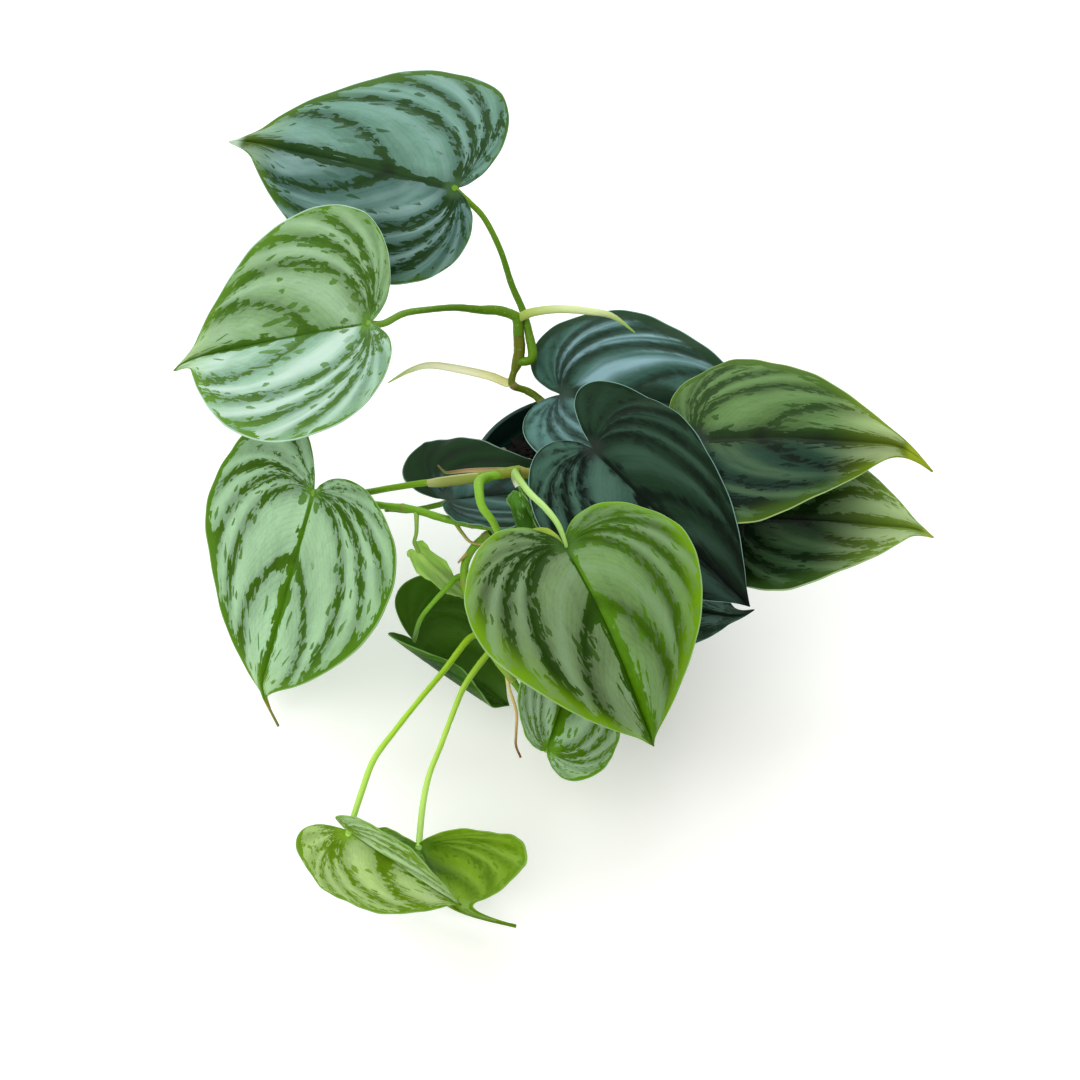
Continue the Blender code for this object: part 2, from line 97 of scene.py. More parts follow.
# Chips and grains on the soil: how many, least and greatest size in mm, least and greatest flatness, how
# uneven, how far they lie above the soil in mm, dark and light colours, and the fineness and depth in mm
# of their grain.
Crumb = namedtuple("Crumb", "count sizes flatness rough lift dark light scale depth")
CRUMBS = {
    "bark_chips": Crumb(420, (1.5, 4.2), (0.2, 0.5), 0.22, 0.5, (6, 6, 4), (26, 22, 15), 420, 0.6),
    "perlite_grains": Crumb(90, (0.8, 1.9), (0.7, 1), 0.18, 0.9, (150, 128, 92), (214, 200, 170), 700, 0.4),
    "fibre_crumbs": Crumb(700, (0.4, 1.3), (0.3, 0.8), 0.3, 0.4, (5, 5, 4), (20, 17, 12), 900, 0.3),
}

# The fineness, thickness and relief of the surfaces, in millimetres and degrees.
LEAF_ROWS = 96
LEAF_COLUMNS = 28
LEAF_THICKNESS = 0.45
STEM_STEPS = 8
STEM_SIDES = 16
NODE_SWELL = 0.22
NODE_LENGTH = 1.6
SHEATH_SIDES = 9
SHEATH_WALL = 0.45
SHEATH_WRAP = 105
QUILT_HEIGHT = 1.0
VEIN_WIDTH = 2.6
RIB_DEPTH = 0.9
RIB_WIDTH = 1.3
MARGIN_WAVE = 0.9
MARGIN_WAVES = 4.5
MARGIN_RIPPLES = 13
RIPPLE_SHARE = 0.25
SMOOTH_ANGLE = 60

# The flat form of a blade, in blade lengths and in shares of its rows.
HALF_SPAN = 0.55
RIB_START = 0.5
RIB_EASE = 1.95
VEIN_BOW = 0.68
LOBE_ROWS = 0.2
LOBE_BLEND = 0.25
DRIP_START = 0.75
HOOK_START = 0.9

# The side veins of a half: the row where each leaves the midrib and the row where it meets the margin.
# Those that leave at rows under RIB_START all start where the stalk joins. The lobe's bands have
# numbers under LOBE_BAND, and all of its own traits under LOBE_BAND_FULL.
VEIN_FEET = np.array([0.10, 0.21, 0.31, 0.40, 0.46, 0.515, 0.77])
VEIN_ENDS = np.array([0.12, 0.26, 0.40, 0.53, 0.67, 0.81, 0.86])
VEIN_SAMPLES = 119
LOBE_BAND = 4.2
LOBE_BAND_FULL = 3.3

# The net of cells of the leaf pattern: cells in a band between veins and from midrib to margin, how much
# finer the second net is, and the fine lines in a band.
NET_BAND = 8
NET_COLUMNS = 25
NET_FINER = 2.3
BAND_LINES = 13

# The leaf pattern's noises: their fineness to a millimetre, and how far the nets and the noises push
# the green's edges, in millimetres. The specks are the cells with random numbers over SPECK_FROM.
SOFT_SCALE = 0.05
BLOTCH_SCALE = 0.16
DRIFT_SCALE = 0.055
CRINKLE_SCALE = 0.7
COARSE_PUSH = 2.7
FINE_PUSH = 0.7
BLOTCH_PUSH = 3.5
BLOTCH_PUSH_IN_LOBE = 8.0
DRIFT_PUSH = 7.0
SPECK_FROM = 0.94

# The camera in metres, degrees and millimetres, the surroundings and the floor, and the lamps: place,
# target and size in metres, power in watts, and colour.
CAMERA_AT = (-0.021, -0.4265, 0.5179)
CAMERA_TILT = 42
CAMERA_LENS = 45
CAMERA_SENSOR = 36
CAMERA_NEAR = 0.01
WORLD_LIGHT = 0.55
WORLD_COLOUR = (1.0, 1.0, 0.985, 1.0)
FLOOR_COLOUR = (240, 240, 237)
FLOOR_GLOW = 0.25
FLOOR_GLOW_COLOUR = (255, 255, 250)
FLOOR_REACH = 30.0
LAMPS = {
    "window": ((-0.2, 0.9, 1.1), (-0.02, 0, 0.08), (2.2, 1.5), 20, (0.92, 0.97, 1.0)),
    "key": ((-0.5, -0.7, 1.2), (-0.02, -0.05, 0.08), (1.2, 1.2), 10, (1.0, 0.98, 0.95)),
}

# Half the outline of a heart-shaped blade, in blade lengths, from the stalk round the lobe to the tip.
HEART = np.array([(0, 0), (0.035, -0.075), (0.11, -0.15), (0.22, -0.18), (0.345, -0.145),
                  (0.455, -0.05), (0.525, 0.08), (0.55, 0.23), (0.53, 0.38), (0.465, 0.53),
                  (0.37, 0.67), (0.255, 0.80), (0.14, 0.90), (0.05, 0.965), (0, 1)])

# at: where the stalk joins, mm. heading, pitch and roll: the midrib's bearing and rise and the blade's
# turn about it, degrees. Pairs hold the left half, then the right half, seen from above with the tip
# ahead: width and lobe scale the outline, fold and curl lift and bend each half, degrees. droop bends
# the whole blade down to its tip, full rounds the outline, sweep bends the midrib sideways, drip is
# the thin tip beyond the outline and hook its sideways and upward turn, in blade lengths.
Blade = namedtuple("Blade", "at heading pitch roll length width lobe fold curl droop full sweep drip hook",
                   defaults=[(0, 0)])
BLADES = {
    "01": Blade((-59, 95, 174), 160, 4, -30, 106, (0.89, 1.14), (0.77, 0.65), (4, -6), (15, 17), 6, -0.09,
        -0.02, 0.06, (-0.03, 0.01)),
    "02": Blade((-94, 27, 152), 171, -17, -41, 92, (1.19, 1.1), (0.9, 0.7), (35, -1), (4, 4), 6, 0.08,
        -0.03, 0.09, (-0.04, 0)),
    "03": Blade((-119, -20, 97), -121, -53, -2, 100, (1.08, 1.04), (0.76, 1.49), (21, -6), (8, 6), 6,
        -0.08, 0.01, 0.09, (-0.15, 0.02)),
    "04": Blade((-11, 38, 102), -7, 6, 15, 97, (1, 0.96), (0.97, 0.84), (-1, 23), (12, 16), 28, 0.08, 0,
        0.05),
    "05": Blade((1, -30, 133), -38, -24, 11, 89, (0.93, 0.85), (1.42, 0.95), (-2, 2), (24, 11), 11, -0.28,
        -0.01, 0.02),
    "06": Blade((47, -2, 112), -12, 17, 12, 88, (1.06, 0.85), (0.92, 1), (1, -3), (23, 13), 21, -0.29, 0,
        0.13, (0.13, 0)),
    "07": Blade((72, -16, 77), -18, 20, 14, 75, (1, 1), (1, 1), (10, 18), (15, 18), 22, -0.23, -0.01, 0.07,
        (0.04, 0)),
    "08": Blade((14, -68, 84), -3, -11, 38, 52, (1, 0.8), (1, 1), (6, 10), (15, 15), 16, -0.3, 0, 0.12,
        (-0.08, 0.03)),
    "09": Blade((-11, -76, 125), -62, -10, 0, 84, (1.07, 1.06), (0.87, 1.09), (0, 8), (10, 19), 45, -0.17,
        0, 0.02),
    "10": Blade((-60, -26, 99), 22, -12, -12, 67, (1.12, 0.91), (1.24, 0.55), (12, 12), (4, 8), 6, -0.27,
        0.02, 0.03),
    "11": Blade((-76, -67, 54), -3, -50, -148, 58, (0.8, 1.15), (1.6, 1.7), (-30, 12), (130, 20), 10, 0, 0,
        0.02),
    "12": Blade((-18, -117, 45), 73, 3, 34, 53, (1.06, 0.94), (0.6, 1.07), (36, 25), (13, 8), 6, 0.01, 0,
        0.05),
    "13": Blade((-94, -164, 60), -24, -30, 50, 51, (0.97, 1.08), (0.95, 1.6), (56, 9), (17, 38), 6, -0.04,
        -0.01, 0.04),
    "14": Blade((-68, -165, 51), -33, -72, 68, 45, (1.63, 1.08), (0.8, 0.81), (-6, -4), (4, 36), 6, 0.01,
        -0.03, 0.2, (-0.5, 0.03)),
    "15": Blade((-74, -41, 82), -31, -38, 153, 32, (0.55, 0.62), (0.6, 0.6), (5, 5), (10, 10), 10, 0, 0,
        0.08),
    "16": Blade((-29, -43, 120), -66, -31, 56, 28, (0.36, 0.4), (0.5, 0.5), (35, 35), (10, 10), 10, 0, 0,
        0.08),
}

# How each blade is coloured, in picture red, green and blue. Pairs hold the left half, then the right
# half; where the two halves differ much, as on 06, 07, 09 and 10, a pair is partly the leaf's own colour
# and partly painted light and shade, the half towards the light painted lighter and the other darker.
# green is between and round the silver bands, the crest pair is how far the shine colour, a painted
# sheen, lights up the bands' crests as a painted highlight, and bare is the green margin's width in mm.
# tip tints the blade from tip_from on and rim the margin, each with its share, and line is the thin
# edge. ridge lifts the bands. vein and rib are the widths in mm of the green beside them, fork the reach
# of the green patch where a vein leaves the midrib, edge how softly the green ends and split how softly
# the halves meet. speck is the share of stray flecks, shade how dark the painted shade in the valleys by
# the veins is, spine the dark of the midrib and through the share of light let through. seed, the
# blade's number, changes the flecks, point is the colour of the very tip and drip_width how wide the
# thin tip starts. jag is how ragged the green's edges are, calm how far ridges, the painted sheen and
# the painted valley shade fade in the lobes, and meet the column where the halves' colours meet.
Look = namedtuple("Look", "green silver crest shine tip tip_share tip_from rim rim_share line bare "
                          "ridge vein rib fork edge split speck shade spine through seed "
                          "point drip_width jag calm meet")
PLAIN = Look(
    green=[(60, 100, 20)] * 2, silver=[(120, 155, 110)] * 2, crest=(0.2, 0.2), shine=(170, 200, 160),
    tip=(110, 150, 30), tip_share=0.5, tip_from=0.76, rim=(90, 135, 24), rim_share=0.5,
    line=(150, 190, 120), bare=(2.0, 2.0), ridge=1.1, vein=1.5, rib=2.4, fork=6.5, edge=0.12,
    split=0.004, speck=0.85, shade=0.3, spine=0.15, through=0.12, seed=0, point=None, drip_width=0.045,
    jag=1.0, calm=0.5, meet=0.0)
LOOKS = {
    "01": dict(green=[(34, 72, 26), (44, 82, 32)], silver=[(76, 112, 102), (98, 138, 120)],
        crest=(0.65, 0.4), shine=(156, 188, 184), tip=(112, 142, 30), rim=(84, 124, 24),
        line=(150, 185, 170), bare=(2, 4), ridge=1.3, rib=3.6, spine=0.3, point=(190, 215, 190)),
    "02": dict(green=[(88, 130, 52), (78, 122, 32)], silver=[(142, 180, 152), (132, 168, 118)],
        crest=(0.7, 0.2), shine=(204, 226, 214), tip=(120, 158, 50), rim=(100, 146, 36),
        line=(186, 216, 196), ridge=1.6, vein=1.2, rib=1.6, shade=0.25, spine=0),
    "03": dict(green=[(70, 118, 4), (72, 116, 6)], silver=[(152, 190, 148), (156, 194, 154)],
        shine=(176, 208, 170), tip=(112, 155, 36), rim=(90, 138, 22), bare=(3, 4.5), ridge=1.2, vein=1.2,
        rib=3.6, fork=5.5, spine=-0.15, point=(150, 140, 50), drip_width=0.009),
    "04": dict(green=[(22, 52, 32), (16, 46, 30)], silver=[(54, 90, 78), (80, 118, 112)],
        crest=(0.75, 0.3), shine=(146, 182, 192), tip=(40, 70, 30), rim=(34, 66, 26), line=(150, 190, 185),
        bare=(9, 3), vein=1.2, rib=8, edge=3, speck=0, through=0.04, jag=0.8, calm=1),
    "05": dict(green=[(6, 30, 14), (1, 22, 8)], silver=[(26, 52, 32), (58, 90, 76)], crest=(0.25, 0.4),
        shine=(84, 118, 102), tip=(0, 6, 0), tip_share=0.95, tip_from=0.35, rim=(14, 42, 10),
        line=(130, 170, 160), ridge=0.5, vein=1.2, edge=2, speck=0.3, shade=0.2, through=0.02, jag=0.9,
        calm=0.9),
    "06": dict(green=[(46, 80, 20), (4, 32, 14)], silver=[(84, 116, 62), (34, 64, 48)],
        shine=(130, 160, 110), tip=(124, 150, 24), tip_share=0.9, tip_from=0.6, rim=(88, 122, 16),
        line=(160, 190, 120), bare=(6, 2.5), ridge=1, vein=1.3, rib=4, split=0.2, spine=0.45, through=0.08,
        point=(140, 158, 30), drip_width=0.07),
    "07": dict(green=[(26, 58, 10), (16, 46, 10)], silver=[(72, 104, 60), (44, 74, 42)],
        shine=(120, 150, 110), tip=(130, 166, 50), tip_share=0.95, tip_from=0.38, rim=(60, 98, 16),
        line=(170, 195, 140), ridge=0.9, rib=3.5, spine=0.3, through=0.1, point=(150, 170, 70)),
    "08": dict(green=[(34, 60, 42)] * 2, silver=[(74, 102, 90), (72, 100, 88)], shine=(100, 130, 120),
        tip=(36, 60, 38), rim=(40, 66, 40), line=(130, 160, 150), edge=0.4, through=0.04),
    "09": dict(green=[(78, 126, 2), (46, 84, 0)], silver=[(106, 140, 80), (106, 132, 86)],
        crest=(0.35, 0.35), shine=(140, 168, 136), tip=(80, 122, 14), tip_share=0.3, rim=(118, 166, 8),
        rim_share=0.85, bare=(2.5, 1.5), ridge=1.9, vein=1.7, rib=3.2, fork=8, shade=0.42, spine=-0.12),
    "10": dict(green=[(6, 36, 4), (22, 48, 34)], silver=[(12, 46, 10), (44, 80, 72)], crest=(0, 0.35),
        shine=(130, 164, 156), tip=(30, 60, 30), rim=(30, 62, 28), line=(130, 170, 150), ridge=0.5,
        vein=0.8, edge=1.6, split=0.1, speck=0.3, shade=0.16, through=0.05, jag=0.6, calm=1, meet=-0.3),
    "11": dict(green=[(34, 84, 2), (54, 104, 2)], silver=[(56, 104, 18), (66, 112, 12)],
        shine=(120, 155, 110), tip=(80, 128, 10), rim=(80, 128, 12), line=(130, 175, 90)),
    "12": dict(green=[(104, 156, 16)] * 2, silver=[(178, 216, 168), (172, 210, 160)], crest=(0.4, 0.4),
        shine=(205, 230, 200), tip=(110, 160, 20), rim=(106, 156, 16), vein=0.6, rib=4.4, spine=-0.15,
        jag=0.8),
    "13": dict(green=[(112, 152, 14), (116, 156, 8)], silver=[(172, 206, 144), (178, 208, 128)],
        crest=(0.4, 0.3), shine=(195, 215, 175), tip=(115, 155, 20), rim=(112, 152, 20), vein=0.9, rib=1.6,
        shade=0.2, through=0.2),
    "14": dict(green=[(104, 148, 0), (112, 154, 4)], silver=[(132, 172, 30), (160, 194, 100)],
        crest=(0.1, 0.5), shine=(200, 225, 160), tip=(114, 158, 0), rim=(120, 164, 2), line=(150, 190, 80),
        vein=1, rib=1.6, shade=0.2, through=0.25, drip_width=0.11),
    # 15's tints are paler than the leaf's own colour: painted light making up for the shade it lies in.
    "15": dict(green=[(214, 236, 170)] * 2, silver=[(222, 240, 184)] * 2, crest=(0, 0),
        tip=(210, 240, 120), tip_share=0.3, rim=(200, 236, 110), rim_share=0.3, line=(170, 205, 120),
        ridge=0.5, edge=1.5, speck=0, shade=0.1, through=0.4),
    "16": dict(green=[(76, 134, 24)] * 2, silver=[(146, 192, 116)] * 2, crest=(0.3, 0.3),
        tip=(90, 140, 50), rim=(90, 140, 40), ridge=0.6, vein=0.8, rib=1.2),
}


# A leaf stalk: its packed radius at the blade, mm, its colours from foot to blade, its route, mm, which
# starts inside the stem, its radii in equal steps from the foot, mm, and the side of the blade that its
# end lies on. The last points of the route are worked out from the blade.
Stalk = namedtuple("Stalk", "top tints route radii side")


def stalk(foot, top, tints, route, trim=1, radii=None, side="under"):
    """A stalk that tapers from foot to top, trimmed, unless it has radii of its own."""
    tapered = np.array((foot, foot * 0.9, top * 0.95, top * 0.95, top, top)) * trim
    return Stalk(top, tints, route, radii or tapered, side)


HIDDEN_GREEN = [(60, 92, 20), (60, 92, 20), (60, 92, 30)]
STALKS = {
    "01": stalk(1.9, 1.4, [(92, 134, 6), (80, 124, 2), (106, 150, 24)], [(-30.9, 53.4, 108),
        (-24.6, 53, 111), (-26, 61, 118), (-29, 69, 126), (-34, 75, 136), (-39, 82, 150), (-46, 89, 162),
        (-53, 92, 169)], radii=(2, 2.3, 1.9, 1.6, 1.5, 1.4, 1.4, 1.4, 1.4, 1.4)),
    "02": stalk(2.1, 1.6, [(88, 130, 8), (84, 128, 4), (116, 160, 50)], [(-31, 60, 118.5),
        (-31.3, 63.2, 123.8), (-32.8, 64.6, 126.3), (-40, 65, 129), (-48, 63, 131), (-59, 57, 137),
        (-70, 48, 143), (-80, 39, 148), (-88, 31, 149)],
        radii=(2.3, 2.3, 2.2, 1.8, 1.6, 1.5, 1.5, 1.5, 1.5, 1.5)),
    "03": stalk(2.3, 1.5, [(112, 124, 24), (104, 148, 10), (112, 158, 40)], [(-29, -35.5, 126),
        (-32.6, -36, 125.8), (-46, -35, 122), (-58, -33, 118), (-71, -30, 113), (-85, -26, 106),
        (-98, -22, 99), (-111, -18, 95)]),
    "04": stalk(1.9, 1.6, HIDDEN_GREEN, [(-2, 36, 69), (-2, 36, 75), (-2, 36, 82), (-4, 37, 90),
        (-10, 38, 96)]),
    "05": stalk(1.9, 1.6, HIDDEN_GREEN, [(18, -20, 69), (18, -20, 75), (18, -20, 82), (15, -22, 96),
        (9, -24, 112), (3, -28, 125)]),
    "06": stalk(1.9, 1.6, HIDDEN_GREEN, [(26, -15, 69), (26, -15, 75), (26, -15, 82), (30, -19, 91),
        (38, -18, 96), (45, -10, 102), (48, -4, 107)]),
    "07": stalk(1.8, 1.4, HIDDEN_GREEN, [(32, -4, 69), (32, -4, 75), (32, -4, 82), (38, -8, 92),
        (47, -13, 96), (57, -16, 95), (66, -16, 91), (71, -16, 84)], side="over"),
    "08": stalk(2.1, 1.7, [(108, 156, 26), (136, 188, 54), (120, 168, 50)], [(-36, -36, 124.9),
        (-42, -37.4, 124.4), (-45.4, -43, 127.2), (-45.4, -50, 128), (-44, -56, 126), (-40, -59, 121),
        (-36.4, -60, 111), (-31, -59, 100), (-22, -60, 90), (-10, -63, 84), (4, -67, 81)],
        radii=(1.7, 2.2, 1.8, 1.5, 1.4, 1.4, 1.4, 1.4, 1.4, 1.4)),
    "09": stalk(1.9, 1.8, [(108, 154, 30), (170, 208, 120), (150, 194, 96)], [(-31, -35, 125),
        (-31, -37.9, 127.7), (-30, -45, 132), (-25, -54, 132), (-19, -62, 132), (-14, -70, 131)],
        radii=(1.6, 1.5, 1.5, 1.4, 1.4, 1.3, 1.3, 1.2, 1, 0.6), side="over"),
    "10": stalk(1.6, 1.3, [(100, 144, 20), (100, 144, 20), (90, 130, 34)], [(-88, -25.5, 93),
        (-84.7, -24.7, 92), (-78, -23, 89), (-70, -23, 91), (-64, -24, 94)]),
    "11": stalk(1.5, 1.2, [(100, 152, 8), (122, 178, 44), (160, 208, 120)], [(-53, -52, 79),
        (-56.5, -53, 79.2), (-60, -57, 78), (-66, -62, 74), (-72, -66, 67)], trim=0.9),
    "12": stalk(1.5, 1.3, [(100, 152, 26), (110, 162, 34), (120, 168, 44)], [(-34, -86, 53),
        (-31.7, -88.3, 51.6), (-24, -97, 44), (-18, -106, 39), (-17, -113, 39)]),
    "13": stalk(1.5, 1.3, [(150, 192, 30), (162, 210, 48), (176, 220, 100)], [(-46.5, -70.5, 65),
        (-47.8, -72.7, 65.3), (-52, -77, 66), (-61, -91, 64), (-70, -107, 66), (-79, -123, 67),
        (-86, -137, 68), (-90, -150, 65)], trim=0.95),
    "14": stalk(1.5, 1.3, [(158, 200, 50), (178, 220, 84), (186, 226, 116)], [(-41, -78.5, 60),
        (-43.1, -79.8, 60.8), (-52, -95, 60), (-57, -110, 59), (-61, -123, 57), (-65, -137, 57),
        (-67, -150, 55)], trim=0.95),
    "15": stalk(1.1, 0.9, [(160, 196, 90), (160, 196, 90), (160, 200, 90)], [(-74, -31, 97),
        (-73.8, -32.8, 95.8), (-74, -37, 90), (-75, -39, 86)]),
    "16": stalk(1.2, 1, [(130, 172, 70)] * 3, [(-29, -36, 124), (-28.3, -37.6, 122.7), (-27, -41, 120)]),
}

# Leaves on which nothing of the stalk shows from above.
HIDDEN_KNOBS = ("04", "05", "06", "07", "10")

# Stems, shoots and stubs: radii in equal steps from the foot, mm, growth nodes in shares of the length,
# colours from foot to end, route, mm, and material slot.
Stem = namedtuple("Stem", "radii nodes_at tints route slot", defaults=["stalk_green"])
RISING_RADII = (1.9,) * 10 + (1.75,) * 4 + (1.6,) * 3 + (1.5, 2.45, 2.65, 2.65, 2.65, 2.6, 2.5, 2.4)
STEMS = {
    "stem_rising": Stem(RISING_RADII, [0.44, 0.63], [(84, 100, 10), (92, 112, 14), (104, 108, 20)],
        [(-10, 24, 69), (-10, 24, 75), (-10, 25, 81), (-15, 35, 88), (-21, 44, 93), (-27, 47, 96),
        (-33, 47, 99), (-34, 49, 102), (-31.4, 54, 108), (-30.5, 57.5, 113), (-31, 62, 120),
        (-31, 64, 124)], "stalk_olive"),
    "stem_middle": Stem((2.2, 2.2), [0.55, 0.97], [(76, 104, 14), (84, 112, 14), (136, 140, 50)],
        [(14, -14, 69), (14, -14, 75), (14, -14, 82), (8, -22, 95), (-2, -28, 108), (-16, -33, 119),
        (-31, -36, 126)], "stalk_olive"),
    "shoot_side": Stem((1.9, 1.5), [0.52, 0.8], [(80, 124, 14), (104, 154, 26), (132, 186, 50)],
        [(-14, -20, 69), (-14, -20, 75), (-15, -21, 82), (-20, -27, 90), (-28, -34, 96), (-38, -41, 98),
        (-51, -40, 99), (-62, -37, 99), (-75, -30, 97), (-88, -25, 94), (-100, -18, 89)]),
    "stem_trailing": Stem((1.8, 1.6), [0.03, 0.35, 0.66, 0.97],
        [(104, 156, 26), (122, 166, 34), (140, 174, 60)], [(-42, -42, 95), (-46, -43, 92), (-50, -45, 88),
        (-53, -49, 83), (-53, -56, 77), (-50, -64, 71), (-46, -72, 65), (-40, -80, 58), (-32, -88, 52)]),
    "root_dried": Stem((0.8, 0.5), [], [(232, 216, 150), (210, 178, 112), (116, 70, 40)],
        [(-35, -85.4, 51.1), (-34, -90, 49), (-31, -99, 46), (-31, -108, 44), (-31, -114, 43),
        (-29, -118, 40)], "dried_tan"),
    "stub_upper": Stem((0.9, 0.5), [], [(130, 150, 50), (170, 164, 84), (176, 150, 100)],
        [(-57, -38.8, 98.5), (-54, -42, 95.5), (-50.6, -45.4, 93.6), (-46.5, -47, 93.8),
        (-43.7, -47.3, 95)]),
    "stub_lower": Stem((0.9, 0.4), [], [(130, 150, 50), (170, 164, 84), (150, 120, 80)],
        [(-50.5, -45.5, 88), (-53, -48, 87.5), (-55.8, -50.3, 85.5)]),
}

# Sheaths: widths in equal steps from the foot, mm, depth in widths, the way the trough opens, colours
# from foot to end, colour of the edges, route, mm, and material slot.
Sheath = namedtuple("Sheath", "widths depth opening tints edge route slot", defaults=["sheath_cream"])
SHEATHS = {
    "sheath_left": Sheath((2.1, 2.2, 2.1, 1.8, 1.3, 0.3), 0.5, (0, -0.45, 0.9),
        [(250, 246, 180), (255, 255, 226), (206, 230, 130)], (206, 240, 176), [(-33.8, 48.2, 100.6),
        (-37, 47, 101.4), (-44, 46, 106), (-58, 44, 112), (-71, 42, 116), (-80, 37, 117), (-89, 30, 116)]),
    "sheath_right": Sheath((2.1, 2.3, 2.1, 1.9, 1.5, 0.3), 0.6, (0, 0.45, -0.9),
        [(180, 200, 90), (224, 236, 176), (160, 196, 84)], (236, 252, 230), [(-31, 64, 125),
        (-28.5, 63.9, 127), (-23, 63, 130), (-12, 61, 133), (2, 58, 134), (12, 57, 132), (22, 53, 126)]),
    "sheath_dried": Sheath((1.2, 1.1, 0.9, 0.6, 0.35), 0.6, (0, -0.3, 0.95),
        [(206, 160, 140), (190, 160, 116), (104, 110, 30)], (210, 186, 160), [(-25.5, -32.5, 123.1),
        (-37.5, -31.5, 122.5), (-50.1, -28.9, 119.6), (-57.9, -26.9, 116.5), (-60.9, -26.2, 115.9),
        (-64, -23.7, 117.6)], "dried_tan"),
    "stalk_clasp": Sheath((2, 2.45, 2.55, 2.5, 2.4, 1.8), 0.97, (0, 1, 0.15),
        [(138, 158, 50), (146, 156, 74), (180, 190, 116)], (206, 210, 150), [(-45, -35.2, 122.3),
        (-50, -34.4, 120.7), (-56, -33.4, 118.7), (-62, -32.2, 116.4), (-67.5, -31, 114.3)]),
    "sheath_torn": Sheath((1.2, 1.8, 2, 1.6), 0.6, (0, 0.67, -0.74),
        [(180, 190, 110), (150, 166, 110), (232, 236, 216)], (226, 230, 206), [(-31.5, -39.9, 129.8),
        (-30.9, -44.3, 131), (-30, -46.7, 130.9), (-29.4, -48.4, 130)]),
    "lobe_fold": Sheath((0.6, 1.8, 2.4, 2.2, 1), 0.4, (0, 0.67, -0.74),
        [(150, 180, 50), (164, 188, 66), (140, 176, 50)], (186, 200, 100), [(-26.2, -65.1, 120.7),
        (-22.6, -66.2, 122.4), (-18.6, -67.9, 123.3), (-15.1, -71.8, 124), (-12.4, -75.2, 124.3)],
        "leaf_light"),
}


def spline(points, steps):
    """Points read at equal steps from a smooth curve through the given points (Catmull-Rom)."""
    points = np.asarray(points, float)
    padded = np.vstack([2 * points[0] - points[1], points, 2 * points[-1] - points[-2]])
    place = np.linspace(0, len(points) - 1, steps + 1)
    first = np.minimum(place.astype(int), len(points) - 2)
    u = (place - first)[:, None]
    p0, p1, p2, p3 = (padded[first + k] for k in range(4))
    return 0.5 * (2 * p1 + (p2 - p0) * u + (2 * p0 - 5 * p1 + 4 * p2 - p3) * u ** 2
                  + (3 * p1 - p0 - 3 * p2 + p3) * u ** 3)


def lengths_along(path):
    """The way along a path up to each of its points."""
    return np.concatenate([[0], np.cumsum(np.linalg.norm(np.diff(path, axis=0), axis=1))])


def route_length(route):
    """The length of the smooth path through a route."""
    return float(lengths_along(spline(route, 8 * len(route)))[-1])


def read_evenly(share, values):
    """Values given in equal steps, read at shares of the whole."""
    return np.interp(share, shares(len(values) - 1), values)


def shares(steps):
    """Equal steps from 0 to 1."""
    return np.linspace(0, 1, steps + 1)


def chord(bend):
    """The ratio of a bent line's chord to its length, for half its turn in radians."""
    return np.sinc(bend / np.pi)


def unit(vectors):
    """The vectors at length 1."""
    return vectors / np.linalg.norm(vectors, axis=-1, keepdims=True)


def full_turn(sides):
    """The angles of a ring's points."""
    return np.linspace(0, 2 * np.pi, sides, endpoint=False)


def round_z(radius, angle, height):
    """Points at radii and angles round Z and at heights: radius * cos, radius * sin and height."""
    parts = np.broadcast_arrays(radius * np.cos(angle), radius * np.sin(angle), height)
    return np.stack(parts, -1)


def blade_axes(blade):
    """The blade's right, ahead and up directions, one a row."""
    heading, pitch, roll = np.radians([blade.heading, blade.pitch, blade.roll])
    ahead = np.array([np.cos(pitch) * np.cos(heading), np.cos(pitch) * np.sin(heading), np.sin(pitch)])
    level_up = unit(np.array([0, 0, 1]) - ahead[2] * ahead)
    up = level_up * np.cos(roll) + np.cross(ahead, level_up) * np.sin(roll)
    return np.array([np.cross(ahead, up), ahead, up])


def side_veins(x, y):
    """The band number and the distance to the nearest side vein, for a half's grid of flat places.

    A vein's row runs straight from its foot at the midrib to its end at the margin. The band number is
    a whole number on each vein and in equal parts between two. The distance is to points on the veins.
    """
    column = shares(LEAF_COLUMNS)
    rows = VEIN_FEET[:, None] + (VEIN_ENDS - VEIN_FEET)[:, None] * column
    numbers = np.arange(len(VEIN_FEET) + 2)
    band = np.stack([np.interp(shares(LEAF_ROWS), [0, *starts, 1], numbers) for starts in rows.T], 1)
    place = rows * LEAF_ROWS
    first = np.minimum(place.astype(int), LEAF_ROWS - 1)
    part = place - first
    across = np.arange(LEAF_COLUMNS + 1)[None, :]
    sample = shares(VEIN_SAMPLES)
    lines = [values[first, across] * (1 - part) + values[first + 1, across] * part for values in (x, y)]
    dense = [np.concatenate([np.interp(sample, column, line) for line in lines_of]) for lines_of in lines]
    gap = np.hypot(x[..., None] - dense[0], y[..., None] - dense[1]).min(-1)
    return band, gap


